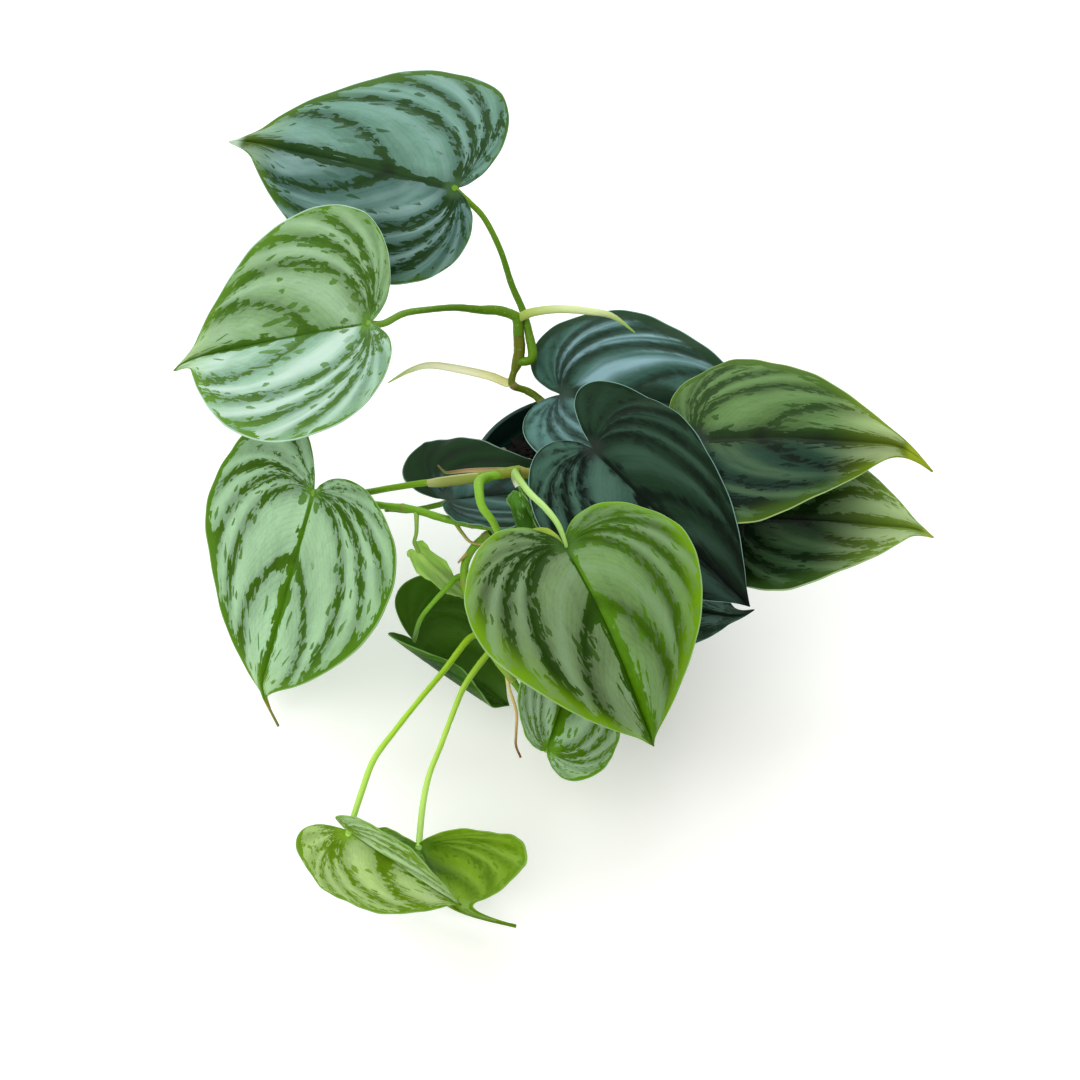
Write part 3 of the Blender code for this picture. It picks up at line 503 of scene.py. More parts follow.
def half_blade(blade, look, side):
    """Points of one half on a grid of rows (along the veins) and columns (midrib to margin).

    Flat place: from the midrib straight to the outline, bowed towards the tip by column * (1 - column).
    Height: 1 - exp(-distance to a vein / width) between sunken veins, a groove along the midrib and a
    wave at the margin. Then each half is turned up by fold, rolled by curl on a circle of its width,
    and the whole is bent down by droop on a circle of its length.
    """
    half = 0 if side < 0 else 1
    row = shares(LEAF_ROWS)[:, None]
    column = shares(LEAF_COLUMNS)[None, :]
    edge = spline(HEART, LEAF_ROWS)
    edge_x = edge[:, :1] * blade.width[half]
    edge_y = edge[:, 1:]
    edge_y = np.where(edge_y < 0, edge_y * blade.lobe[half], edge_y + blade.full * edge_y * (1 - edge_y))
    rib = np.clip((row - RIB_START) / (1 - RIB_START), 0, 1) ** RIB_EASE
    bow = VEIN_BOW * column * (1 - column) * np.clip((row - LOBE_ROWS) / LOBE_BLEND, 0, 1)
    x = column * edge_x + bow * (edge_y - rib)
    y = rib + column * (edge_y - rib) - bow * edge[:, :1]
    near_tip = np.clip((y - DRIP_START) / (1 - DRIP_START), 0, 1) ** 2
    y = y + blade.drip * np.exp(-(x / look.drip_width) ** 2) * near_tip
    past = np.clip((y - HOOK_START) / (1 - HOOK_START + blade.drip), 0, 1) ** 2

    band, gap = side_veins(x, y)
    gap = gap * blade.length
    quilt = QUILT_HEIGHT * look.ridge * (1 - np.exp(-gap / VEIN_WIDTH)) * np.clip(5 * column, 0, 1)
    quilt = quilt * (1 - column ** 4) * (1 - look.calm * np.clip(LOBE_BAND - band, 0, 1))
    groove = -RIB_DEPTH * np.exp(-(x * blade.length / RIB_WIDTH) ** 2) * np.clip(8 * y + 0.3, 0, 1)
    groove = groove * np.clip((1 - y) * 4, 0, 1)
    wave = np.sin(2 * np.pi * MARGIN_WAVES * row + blade.heading)
    ripple = np.sin(2 * np.pi * MARGIN_RIPPLES * row + 2 * blade.heading)
    wave = MARGIN_WAVE * (column ** 3 * wave + RIPPLE_SHARE * column ** 6 * ripple) * np.sin(np.pi * row)
    relief = (quilt + groove + wave) / blade.length

    fold = np.radians(blade.fold[half])
    curl = np.radians(blade.curl[half]) / HALF_SPAN
    across = x * np.cos(fold - curl * x / 2) * chord(curl * x / 2)
    rise = x * np.sin(fold - curl * x / 2) * chord(curl * x / 2) + relief
    lean = np.radians(-blade.droop) * y
    along = y * np.cos(lean / 2) * chord(lean / 2) - rise * np.sin(lean)
    height = y * np.sin(lean / 2) * chord(lean / 2) + rise * np.cos(lean)
    across = side * across + blade.sweep * np.maximum(y, 0) ** 2 + blade.hook[0] * past
    height = height + blade.hook[1] * past
    local = np.stack([across, along, height], -1) * blade.length
    points = np.array(blade.at) + local @ blade_axes(blade)
    vein = np.stack(np.broadcast_arrays(band, side * column, gap), -1)
    flat = np.stack([side * x * blade.length, y * blade.length], -1)
    return points.reshape(-1, 3), vein.reshape(-1, 3), flat.reshape(-1, 2)


def halved(quads):
    """Each quad as two triangles, for corner numbers or for values at the corners."""
    return np.vstack([quads[:, [0, 1, 2]], quads[:, [0, 2, 3]]])


def grid_triangles(rows, columns):
    """Triangles of a grid of rows + 1 by columns + 1 points, numbered row by row."""
    corner = (np.arange(rows)[:, None] * (columns + 1) + np.arange(columns)).reshape(-1, 1)
    return halved(corner + [0, 1, columns + 2, columns + 1])


def thicken(points, triangles, marks, thickness):
    """A closed solid: the sheet moved half its thickness each way, with a strip round its border.

    marks holds values for each triangle's corners. They gain a last value: 1 on top, 0 below.
    """
    corners = points[triangles]
    facing = np.cross(corners[:, 1] - corners[:, 0], corners[:, 2] - corners[:, 0])
    normals = np.zeros_like(points)
    for k in range(3):
        np.add.at(normals, triangles[:, k], facing)
    offset = unit(normals) * thickness / 2
    count = len(points)
    ends = [[0, 1], [1, 2], [2, 0]]
    edges = np.vstack([triangles[:, pair] for pair in ends])
    edge_marks = np.vstack([marks[:, pair] for pair in ends])
    _, which, times = np.unique(np.sort(edges, axis=1), axis=0, return_inverse=True, return_counts=True)
    border = times[which.reshape(-1)] == 1
    both_ways = [0, 0, 1, 1]
    strip = halved(edges[border][:, both_ways] + [0, count, count, 0])
    strip_marks = halved(edge_marks[border][:, both_ways])
    solid = np.vstack([points + offset, points - offset])
    faces = np.vstack([triangles, triangles[:, ::-1] + count, strip])
    marks = np.vstack([marks, marks[:, ::-1], strip_marks])
    top = np.zeros(marks.shape[:2] + (1,))
    top[:len(triangles)] = 1
    top[2 * len(triangles):] = 0.5
    return solid, faces, np.concatenate([marks, top], -1)


def put(name, data):
    """A new object in the scene, of a mesh, a lamp or a camera."""
    made = bpy.data.objects.new(name, data)
    bpy.context.scene.collection.objects.link(made)
    return made


def packed(name):
    """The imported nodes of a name: the one, or none for trim that is made here alone."""
    return [name] if name in frame["nodes"] else []


def make_piece(name, points, faces, material, nodes, marks):
    """A smooth mesh object from points in millimetres, with named values on its faces' corners."""
    mesh = bpy.data.meshes.new(name)
    mesh.from_pydata((np.asarray(points) * MM).tolist(), [], np.asarray(faces).tolist())
    mesh.update()
    mesh.shade_smooth()
    mesh.set_sharp_from_angle(angle=np.radians(SMOOTH_ANGLE))
    for label, values in marks.items():
        layer = mesh.attributes.new(label, "FLOAT_VECTOR", "CORNER")
        layer.data.foreach_set("vector", np.ascontiguousarray(values, np.float32).ravel())
    mesh.materials.append(material)
    piece = put(name, mesh)
    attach(piece, "root")
    if nodes:
        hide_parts(*nodes)
    return piece


def make_leaf(number, blade, look):
    """A blade: two halves of veined rows, merged along the midrib and at the ends, and thickened."""
    halves = [half_blade(blade, look, side) for side in (-1, 1)]
    grid, vein, flat = (np.vstack(parts) for parts in zip(*halves))
    triangles = grid_triangles(LEAF_ROWS, LEAF_COLUMNS)
    triangles = np.vstack([triangles[:, ::-1], triangles + len(grid) // 2])
    marks = np.concatenate([vein[triangles], flat[triangles]], -1)
    _, kept, merged = np.unique(np.round(grid, 4), axis=0, return_index=True, return_inverse=True)
    triangles = merged.reshape(-1)[triangles]
    a, b, c = triangles.T
    real = (a != b) & (b != c) & (c != a)
    points, triangles, marks = thicken(grid[kept], triangles[real], marks[real], LEAF_THICKNESS)
    name = "leaf_" + number
    make_piece(name, points, triangles, leaf_material(name, blade, look), ["blade_" + number],
               {"vein": marks[..., :3], "flat": marks[..., 3:]})


def loft(rings):
    """A closed skin over rings of points: rows of quads, and a fan to the middle of each end ring."""
    steps, sides = rings.shape[:2]
    points = np.vstack([rings.reshape(-1, 3), rings[0].mean(0), rings[-1].mean(0)])
    ring = np.arange(sides)
    following = (ring + 1) % sides
    low = (np.arange(steps - 1) * sides)[:, None]
    quads = np.stack([low + ring, low + following, low + sides + following, low + sides + ring], -1)
    first = np.full(sides, steps * sides)
    last = (steps - 1) * sides
    return points, np.vstack([halved(quads.reshape(-1, 4)), np.stack([following, ring, first], -1),
                              np.stack([last + ring, last + following, first + 1], -1)])


def path_frames(route, steps):
    """A smooth path with its tangents and two directions across it, carried along without twist."""
    path = spline(route, steps)
    tangent = unit(np.gradient(path, axis=0))
    side = np.cross(tangent[0], (0.3, 0.2, 1))
    sideways = []
    for direction in tangent:
        side = unit(side - direction * (side @ direction))
        sideways.append(side)
    sideways = np.array(sideways)
    return path, tangent, sideways, np.cross(tangent, sideways)


def tube_marks(points, faces, path, sides, rings):
    """For each face corner: the way along the path in mm, the turn round it and the nearness of a node."""
    along = lengths_along(path)
    values = np.zeros((len(points), 3))
    values[:-2, 0] = np.repeat(along, sides)
    values[-1, 0] = along[-1]
    values[:-2, 1] = np.tile(np.arange(sides) / sides, len(path))
    values[:-2, 2] = np.repeat(rings, sides)
    marks = values[faces]
    turn = marks[..., 1]
    wraps = (turn.max(1) - turn.min(1) > 0.5)[:, None] & (turn < 0.5)
    marks[..., 1] = turn + wraps
    return {"stem": marks}


def make_stem(name, route, radii, nodes_at, material, nodes):
    """A round stem: circles of a smoothly changing radius on a path, swollen at its growth nodes.

    Radius: the given radii along the path, times 1 + swell * exp(-(distance to node / its length) ^ 2),
    with a slight ridge along one side and fine unevenness along the length.
    """
    path, _, sideways, upward = path_frames(route, STEM_STEPS * (len(route) - 1))
    along = lengths_along(path)
    share = along / along[-1]
    rings = np.zeros(len(path))
    for place in nodes_at:
        rings = np.maximum(rings, np.exp(-((share - place) * along[-1] / NODE_LENGTH) ** 2))
    uneven = 0.02 * np.sin(along * 0.9) + 0.015 * np.sin(along * 2.3)
    radius = read_evenly(share, radii) * (1 + NODE_SWELL * rings + uneven)
    turn = full_turn(STEM_SIDES)
    lumpy = radius[:, None] * (1 + 0.03 * np.cos(2 * turn + 0.08 * along[:, None]))
    circle = np.cos(turn)[:, None] * sideways[:, None] + np.sin(turn)[:, None] * upward[:, None]
    points, faces = loft(path[:, None] + lumpy[..., None] * circle)
    make_piece(name, points, faces, material, nodes,
               tube_marks(points, faces, path, STEM_SIDES, rings))


def make_sheath(name, sheath, material):
    """A keeled sheath: an open trough, thick in the keel and thin at both edges, tapering to a tip.

    Section: an arc from one edge round the keel to the other, and the same arc moved in by the wall.
    Width follows the given widths along the path; the trough opens towards the opening direction.
    """
    path, tangent, _, _ = path_frames(sheath.route, 2 * STEM_STEPS * (len(sheath.route) - 1))
    up = np.array(sheath.opening, float)
    up = unit(up - tangent * (tangent @ up)[:, None])
    sideways = np.cross(tangent, up)
    width = read_evenly(shares(len(path) - 1), sheath.widths)[:, None]
    angle = np.linspace(-1, 1, SHEATH_SIDES) * np.radians(SHEATH_WRAP)
    wall = SHEATH_WALL * (0.4 + 0.6 * np.cos(angle * 0.8)) * np.clip(width / 1.2, 0.35, 1)
    reach = np.concatenate([0 * wall + width, (width - wall)[:, ::-1]], 1)
    angle = np.concatenate([angle, angle[::-1]])
    across = (np.sin(angle) * reach)[..., None]
    down = (-np.cos(angle) * reach * sheath.depth)[..., None]
    points, faces = loft(path[:, None] + across * sideways[:, None] + down * up[:, None])
    make_piece(name.replace("sheath", "husk"), points, faces, material, packed(name),
               tube_marks(points, faces, path, 2 * SHEATH_SIDES, np.zeros(len(path))))


def tint(colour):
    """A picture colour, 0 to 255, as linear light with full alpha."""
    share = np.array(colour) / 255
    light = np.where(share <= 0.04045, share / 12.92, ((share + 0.055) / 1.055) ** 2.4)
    return (*light.tolist(), 1.0)


class Wire:
    """An output socket of a material, with the operators of shader maths."""

    def __init__(self, tree, socket=None):
        self.tree = tree
        self.socket = socket

    def node(self, kind, settings, values, out=0):
        """A new node of a type, with its settings, then its values or links; gives one output or more."""
        made = self.tree.nodes.new("ShaderNode" + kind)
        for name, setting in settings.items():
            setattr(made, name, setting)
        for place, value in values.items():
            if isinstance(value, Wire):
                self.tree.links.new(value.socket, made.inputs[place])
            else:
                made.inputs[place].default_value = value
        if isinstance(out, tuple):
            return [Wire(self.tree, made.outputs[which]) for which in out]
        return Wire(self.tree, made.outputs[out])

    def maths(self, operation, *values):
        """A Math node on this value and others."""
        return self.node("Math", {"operation": operation}, dict(enumerate((self, *values))))

    def __add__(self, other):
        return self.maths("ADD", other)

    __radd__ = __add__

    def __sub__(self, other):
        return self.maths("SUBTRACT", other)

    def __rsub__(self, other):
        return self.node("Math", {"operation": "SUBTRACT"}, {0: other, 1: self})

    def __mul__(self, other):
        return self.maths("MULTIPLY", other)

    __rmul__ = __mul__

    def __truediv__(self, other):
        return self.maths("DIVIDE", other)

    def __abs__(self):
        return self.maths("ABSOLUTE")

    def least(self, other):
        """The lesser of two values."""
        return self.maths("MINIMUM", other)

    def zigzag(self):
        """The distance to the nearest whole number."""
        return self.maths("PINGPONG", 0.5)

    def step(self, low, high):
        """0 up to low, 1 from high on and smooth between them; it falls where low is above high."""
        return self.node("MapRange", {"interpolation_type": "SMOOTHSTEP"},
                         {"Value": self, "From Min": low, "From Max": high})

    def over(self, base, colour):
        """The base colour, covered by the other where this mask is 1; both may be picture colours."""
        base, colour = (tint(part) if isinstance(part, tuple) and len(part) == 3 else part
                        for part in (base, colour))
        return self.node("Mix", {"data_type": "RGBA"}, {0: self, 6: base, 7: colour}, 2)

    def either(self, pair):
        """The first number where this mask is 0 and the second where it is 1."""
        return self.node("Mix", {}, {0: self, 2: float(pair[0]), 3: float(pair[1])})

    def scaled(self, factor):
        """A colour or vector times a number."""
        return self.node("VectorMath", {"operation": "SCALE"}, {0: self, "Scale": factor})

    def moved(self, offset):
        """A vector with another added."""
        return self.node("VectorMath", {"operation": "ADD"}, {0: self, 1: offset})

    def noise(self, scale, detail=2.0, rough=0.5):
        """Soft noise about 0.5 at this place."""
        return self.node("TexNoise", {}, {"Vector": self, "Scale": scale, "Detail": detail,
                                          "Roughness": rough})


def new_material(name):
    """An empty material and the wire that its nodes start from."""
    material = bpy.data.materials.new(name)
    material.use_nodes = True
    material.node_tree.nodes.clear()
    return material, Wire(material.node_tree)


def finish_material(start, colour, roughness, height, depth, glow=None, share=0.2, gloss=0.3):
    """A Principled surface, with a bump of the given depth in mm and, for leaves, some light let through."""
    bump = start.node("Bump", {}, {"Strength": 1.0, "Distance": depth * MM, "Height": height})
    surface = start.node("BsdfPrincipled", {}, {"Base Color": colour, "Roughness": roughness,
                                                "Specular IOR Level": gloss, "Normal": bump})
    if glow is not None:
        through = start.node("BsdfTranslucent", {}, {"Color": glow})
        surface = start.node("MixShader", {}, {0: float(share), 1: surface, 2: through})
    start.node("OutputMaterial", {"target": "ALL"}, {"Surface": surface}, ())


def attribute(start, name):
    """A piece's own values: the vector and its three parts."""
    vector = start.node("Attribute", {"attribute_name": name}, {}, 1)
    return [vector, *start.node("SeparateXYZ", {}, {0: vector}, (0, 1, 2))]


def vector_of(start, x, y, z=0.0):
    """A vector from its three parts."""
    return start.node("CombineXYZ", {}, {0: x, 1: y, 2: z})


def own_place(start):
    """The place on the object, in metres."""
    return start.node("TexCoord", {}, {}, 3)


def grain(start, along, across, seed):
    """Three random numbers for each cell of a net that lies along the veins."""
    net = vector_of(start, along, across).moved((7.3 * seed, 3.1 * seed, 0.0))
    colour = net.node("TexVoronoi", {"voronoi_dimensions": "2D", "distance": "CHEBYCHEV"},
                      {"Vector": net, "Scale": 1.0, "Randomness": 0.9}, 1)
    return start.node("SeparateColor", {}, {0: colour}, (0, 1, 2))


def leaf_material(name, blade, look):
    """Silver bands with stepped edges between green veins, on a smooth, faintly pleated leaf.

    A spot is silver where its distance from the nearest vein, the midrib and the margin, in mm, is
    more than the green there is wide, give or take the random numbers of a coarse and a fine net and
    two soft noises. The midrib itself stays green. Painted shade darkens the valleys by the veins, and
    a painted highlight lightens the crests of the bands and tints them towards a painted sheen colour.
    Where the halves' colour pairs differ much, they are partly painted light and shade.
    """
    material, start = new_material(name)
    _, band, column, gap = attribute(start, "vein")
    place, x, y, top = attribute(start, "flat")
    right = column.step(look.meet - look.split, look.meet + look.split)
    inner = abs(column)
    x = abs(x)
    from_tip = y / blade.length
    soft = place.noise(SOFT_SCALE, 3.0)
    crinkle = place.noise(CRINKLE_SCALE, 3.0, 0.7)
    shifted = place.moved((50.0 * look.seed, 0, 0))
    blotch = shifted.noise(BLOTCH_SCALE, 3.0, 0.6)
    drift = shifted.noise(DRIFT_SCALE)
    coarse = grain(start, band * NET_BAND, inner * NET_COLUMNS, look.seed)
    fine = grain(start, band * NET_BAND * NET_FINER, inner * NET_COLUMNS * NET_FINER, look.seed + 3)

    from_margin = (1 - inner) * (0.5 * blade.length)
    widening = from_tip.step(0.0, 0.5) - 0.6 * from_tip.step(0.7, 1.0)
    in_lobe = band.step(LOBE_BAND, LOBE_BAND_FULL)
    reach = gap + 1.8 * in_lobe - (look.vein * (1 + 0.3 * inner) + 1.4 * x.step(11.0, 0.0))
    reach = reach.least(from_margin - right.either(look.bare) - (blotch - 0.5) * 5.0)
    reach = reach.least(x - (0.5 + 0.5 * widening) * look.rib)
    reach = reach.least(gap + x - look.fork * from_tip.step(0.05, 0.3))
    jagged = (coarse[0] - 0.5) * (COARSE_PUSH - in_lobe) + (fine[0] - 0.5) * FINE_PUSH
    jagged = jagged + (blotch - 0.5) * (BLOTCH_PUSH + BLOTCH_PUSH_IN_LOBE * in_lobe)
    jagged = jagged + (drift - 0.5) * DRIFT_PUSH
    reach = reach + look.jag * jagged
    speck = coarse[1].step(SPECK_FROM, SPECK_FROM + 0.01) * abs(reach).step(9.0, 5.0)
    silver = abs(reach.step(-look.edge, look.edge) - speck * look.speck)
    silver = silver * x.step(0.3 * look.rib, 0.45 * look.rib)

    lines = (band * BAND_LINES + (soft - 0.5) * 2.0).zigzag()
    middle = (band + (soft - 0.5) * 0.3).zigzag()
    calm = 1 - look.calm * in_lobe
    streak = vector_of(start, band * 3.0, inner * 1.5, look.seed).noise(1.0)
    # Painted highlight: the crests of the bands, where a painted sheen colour is laid on the silver.
    crest = middle.step(0.16, 0.42) * streak.step(0.3, 0.65) * calm
    # Painted shade: the valleys beside the veins, where the quilted blade lies in shadow.
    valley_shade = gap.step(5.0, 0.3) * inner.step(1.0, 0.75) * calm
    near_stalk = (x * x + y * y).step(50.0, 2.0)

    # Each half's own green and silver; where the halves differ much this is partly painted light and shade.
    green = right.over(*look.green)
    green = green.scaled(0.62 + 0.5 * blotch + 0.16 * (fine[2] - 0.5) + 0.3 * (drift - 0.3))
    green = (from_margin.step(11.0, 1.0) * look.rim_share).over(green, look.rim)
    bright = right.over(*look.silver)
    pale_lines = lines.step(0.2, 0.04) * (0.2 + 0.8 * fine[2])
    # The silver is painted lighter mid-band: the 0.22 term is a painted highlight on the bands' crests.
    bright = bright.scaled(0.72 + 0.4 * soft + 0.14 * (coarse[2] - 0.5) - 0.16 * pale_lines
                           + 0.22 * middle.step(0.1, 0.45) + 0.3 * (crinkle - 0.5))
    bright = (from_margin.step(14.0, 1.0) * look.rim_share * 0.55).over(bright, look.rim)
    # Painted sheen: the silver tinted towards the shine colour on the bands' crests.
    bright = (crest * right.either(look.crest)).over(bright, look.shine)
    towards_tip = from_tip.step(look.tip_from, 1.02) * look.tip_share
    mean_tip = sum(tint(look.tip)[:3]) / 3
    pale_tip = tuple(min(1.0, 1.5 * value + 1.8 * mean_tip) for value in tint(look.tip))
    green = towards_tip.over(green, look.tip)
    bright = (towards_tip * 0.7).over(bright, pale_tip)
    colour = silver.over(green, bright)
    spine = 0.12 * x.step(1.2, 0.3) + look.spine * x.step(9.0, 0.0)
    # Painted shade in the valleys, and the dark of the midrib.
    colour = colour.scaled(1 - look.shade * valley_shade - spine)
    fresh = tuple(min(1.0, 1.5 * value + 0.03) for value in tint(look.green[1]))
    colour = (near_stalk * 0.6 * (1 - silver * 0.5)).over(colour, fresh)
    colour = (from_margin.step(0.8, 0.3) * 0.85).over(colour, look.line)
    if look.point:
        colour = from_tip.step(0.985, 1.03).over(colour, look.point)
    under = tuple(0.7 * a + 0.3 * b for a, b in zip(tint(look.green[1]), tint((120, 160, 60))))
    colour = top.step(0.3, 0.6).over((0.35 + 0.3 * soft).over(under, colour), colour)
    height = lines * 0.4 + fine[2] * 0.1 + silver * 0.12 + crinkle * 0.4
    middle_tone = np.mean([tint(look.green[1]), tint(look.silver[1])], 0)
    glow = (middle_tone * (1.3, 1.5, 0.4, 1.0)).tolist()
    finish_material(start, colour, 0.42 + 0.1 * silver + 0.1 * soft, height, 0.12, glow, look.through, 0.1)
    return material


def three_tones(share, tints, late):
    """Colours that pass from the foot's to the middle's, and from the late share on to the end's."""
    colour = share.step(0.0, 0.5).over(tints[0], tints[1])
    return share.step(late, 1.0).over(colour, tints[2])


def stem_material(name, tints, length):
    """A stem that shades from foot to end, with fine streaks along it and paler rings at its nodes."""
    material, start = new_material(name)
    _, along, turn, nearness = attribute(start, "stem")
    place = vector_of(start, along * 0.12, turn * 9.0)
    streak = place.noise(1.0, 3.0, 0.6)
    spots = own_place(start).noise(900.0)
    colour = three_tones(along / length, tints, 0.5).scaled(0.875 + 0.25 * streak)
    colour = (spots.step(0.62, 0.72) * 0.25).over(colour, (205, 215, 150))
    colour = (nearness.step(0.5, 0.95) * 0.6).over(colour, (150, 130, 80))
    height = streak + 0.4 * spots + nearness * place.noise(6.0)
    finish_material(start, colour, 0.38 + 0.12 * spots, height, 0.15, gloss=0.2)
    return material


def sheath_material(name, tints, length, edge):
    """A papery sheath: streaked along its length, with greener edges and a dry tip."""
    material, start = new_material(name)
    _, along, turn, _ = attribute(start, "stem")
    streak = vector_of(start, along * 0.1, turn * 26.0).noise(1.0, 4.0, 0.6)
    colour = three_tones(along / length, tints, 0.6).scaled(0.84 + 0.32 * streak)
    colour = ((turn * 2).zigzag().step(0.1, 0.02) * 0.7).over(colour, edge)
    finish_material(start, colour, 0.5, streak, 0.2, tint(tints[1]), 0.25)
    return material


def rounded(profile, radius):
    """A profile with each inner corner replaced by an arc-like curve of 4 points between its sides."""
    profile = np.array(profile, float)
    points = [profile[:1]]
    for before, corner, after in zip(profile, profile[1:], profile[2:]):
        reach = [min(radius, 0.45 * np.linalg.norm(side - corner)) for side in (before, after)]
        start = corner + unit(before - corner) * reach[0]
        end = corner + unit(after - corner) * reach[1]
        u = shares(4)[:, None]
        points.append(start * (1 - u) ** 2 + 2 * corner * u * (1 - u) + end * u ** 2)
    return np.vstack([*points, profile[-1:]])


def soil_height(x, y):
    """The lumpy top of the soil: a sum of waves in several directions."""
    lump = np.sin(0.55 * x + 1.3) * np.cos(0.47 * y) + 0.6 * np.sin(0.9 * y + 0.4 * x)
    return SOIL_TOP + SOIL_LUMPS * (lump + 0.5 * np.sin(1.7 * x - 1.1 * y) * np.sin(1.3 * y + 0.8 * x))


def outer_radius(height):
    """The pot's outer radius below its band."""
    return POT_BASE_RADIUS + (POT_RIM_RADIUS - POT_BAND_STEP - POT_BASE_RADIUS) * height / POT_HEIGHT


def inner_radius(height):
    """The pot's inner radius below its band."""
    return outer_radius(height) - POT_WALL


def pot_material():
    """Dark green moulded plastic: fine turned lines, dust near the foot, pale scuffs and painted shade
    inside.
    """
    material, start = new_material("pot_plastic")
    place = own_place(start)
    x, y, z = start.node("SeparateXYZ", {}, {0: place}, (0, 1, 2))
    inside = (x * x + y * y).maths("SQRT").step(*POT_SHADE_RADII) * z.step(*POT_SHADE_HEIGHTS)
    cloud = place.noise(35.0, 4.0, 0.6)
    fine = place.noise(900.0)
    scuff = start.node("Mapping", {}, {0: place, "Scale": (60.0, 60.0, 700.0)}).noise(1.0, 3.0, 0.7)
    scuff = scuff.step(0.6, 0.72) * cloud.step(0.45, 0.65)
    dust = z.step(0.03, 0.0) * cloud.step(0.4, 0.7)
    colour = cloud.over((10, 52, 42), (24, 76, 62))
    colour = (dust * 0.35).over(colour, (96, 92, 74))
    colour = (scuff * 0.3).over(colour, (110, 140, 128))
    # Painted shade: the inside of the pot darker than its outside.
    colour = colour.scaled(1 - 0.7 * inside)
    height = (z * 900.0).zigzag() * 0.5 + fine * 0.6
    finish_material(start, colour, 0.33 + 0.2 * cloud + 0.2 * scuff, height, 0.08)
    return material


def earth_material(name, dark, light, scale, depth):
    """Bark, fibre or perlite: two tones broken by noise, matt and rough."""
    material, start = new_material(name)
    place = own_place(start)
    coarse = place.noise(scale, 4.0, 0.65)
    fine = place.noise(scale * 4, 3.0, 0.7)
    colour = coarse.step(0.3, 0.7).over(dark, light).scaled(0.6 + 0.8 * fine)
    finish_material(start, colour, 0.9, coarse + fine, depth)
    return material


def scatter(name, crumb, rng):
    """Chips or grains on the soil: one small closed form, scaled, turned and placed once for each.

    The form is a ball of 5 rings of 7 points; each copy's points are moved in and out at random.
    """
    tilt = np.pi * shares(CHIP_SIDES - 1)[1:-1, None]
    points, faces = loft(round_z(np.sin(tilt), full_turn(CHIP_SIDES), np.cos(tilt)))
    points[-2:] = [(0, 0, 1), (0, 0, -1)]
    count = crumb.count
    size = rng.uniform(*crumb.sizes, (count, 1, 1))
    flatness = rng.uniform(0.45, 0.9, count), rng.uniform(*crumb.flatness, count)
    shape = np.stack([np.ones(count), *flatness], -1)
    uneven = 1 + rng.uniform(-crumb.rough, crumb.rough, (count, len(points), 1))
    form = points * uneven * shape[:, None] * size
    heading, lean = rng.uniform(0, 2 * np.pi, count), rng.uniform(-0.5, 0.5, count)
    c, s = np.cos(lean)[:, None], np.sin(lean)[:, None]
    x, y, z = form[..., 0] * c - form[..., 2] * s, form[..., 1], form[..., 0] * s + form[..., 2] * c
    c, s = np.cos(heading)[:, None], np.sin(heading)[:, None]
    radius = SOIL_SPREAD * np.sqrt(rng.uniform(0, 1, count))
    bearing = rng.uniform(0, 2 * np.pi, count)
    at_x, at_y = radius * np.cos(bearing), radius * np.sin(bearing)
    at_z = soil_height(at_x, at_y) + crumb.lift
    points_all = np.stack([x * c - y * s + at_x[:, None], x * s + y * c + at_y[:, None],
                           z + at_z[:, None]], -1)
    faces_all = faces[:, ::-1] + (np.arange(count) * len(points))[:, None, None]
    material = earth_material(name.split("_")[0], crumb.dark, crumb.light, crumb.scale, crumb.depth)
    make_piece(name, points_all.reshape(-1, 3), faces_all.reshape(-1, 3), material, [], {})


def make_pot():
    """The tapered cup with its stepped band, rounded edges and drain holes.

    A profile from the axis out, up and back inside to the axis, turned round Z, with holes cut out.
    """
    band = POT_HEIGHT - POT_BAND_HEIGHT
    at_band = outer_radius(band)
    lip = POT_HEIGHT - POT_LIP_HEIGHT
    rim = POT_RIM_RADIUS
    bevel = POT_FOOT_BEVEL
    outside = [(0, 0), (POT_BASE_RADIUS - bevel, 0), (POT_BASE_RADIUS, bevel), (at_band, band),
               (at_band + POT_BAND_STEP - POT_EDGE, band + POT_EDGE), (rim - POT_EDGE, lip),
               (rim, lip + POT_EDGE), (rim, POT_HEIGHT - POT_EDGE), (rim - POT_EDGE, POT_HEIGHT)]
    inside = [(rim - POT_WALL - POT_LIP, POT_HEIGHT - POT_EDGE),
              (at_band + POT_BAND_STEP - POT_WALL - POT_EDGE, band + POT_WALL + POT_EDGE),
              (inner_radius(band), band), (inner_radius(POT_WALL + bevel), POT_WALL + bevel),
              (inner_radius(POT_WALL) - bevel, POT_WALL), (0, POT_WALL)]
    profile = rounded(outside + inside, POT_CORNER)
    points, faces = loft(round_z(profile[1:-1, :1], full_turn(POT_SIDES), profile[1:-1, 1:]))
    points[-2:, 2] = profile[[0, -1], 1]
    pot = make_piece("nursery_pot", points, faces, pot_material(), ["pot"], {})
    group = bpy.data.collections.new("drain_holes")
    for turn in full_turn(DRAIN_HOLES) + DRAIN_HOLE_TURN:
        bpy.ops.mesh.primitive_cylinder_add(vertices=DRAIN_HOLE_SIDES, radius=DRAIN_HOLE_RADIUS * MM,
                                            depth=DRAIN_CUT_DEPTH * MM)
        hole = bpy.context.object
        hole.data.transform(Matrix.Translation((DRAIN_HOLE_RING * MM * np.cos(turn),
                                                DRAIN_HOLE_RING * MM * np.sin(turn), 0)))
        bpy.context.collection.objects.unlink(hole)
        group.objects.link(hole)
    modifier = pot.modifiers.new("holes", "BOOLEAN")
    modifier.operand_type = "COLLECTION"
    modifier.collection = group
    modifier.solver = "EXACT"
    graph = bpy.context.evaluated_depsgraph_get()
    result = bpy.data.meshes.new_from_object(pot.evaluated_get(graph))
    pot.modifiers.clear()
    pot.data = result
    for hole in list(group.objects):
        bpy.data.objects.remove(hole)
    bpy.data.collections.remove(group)


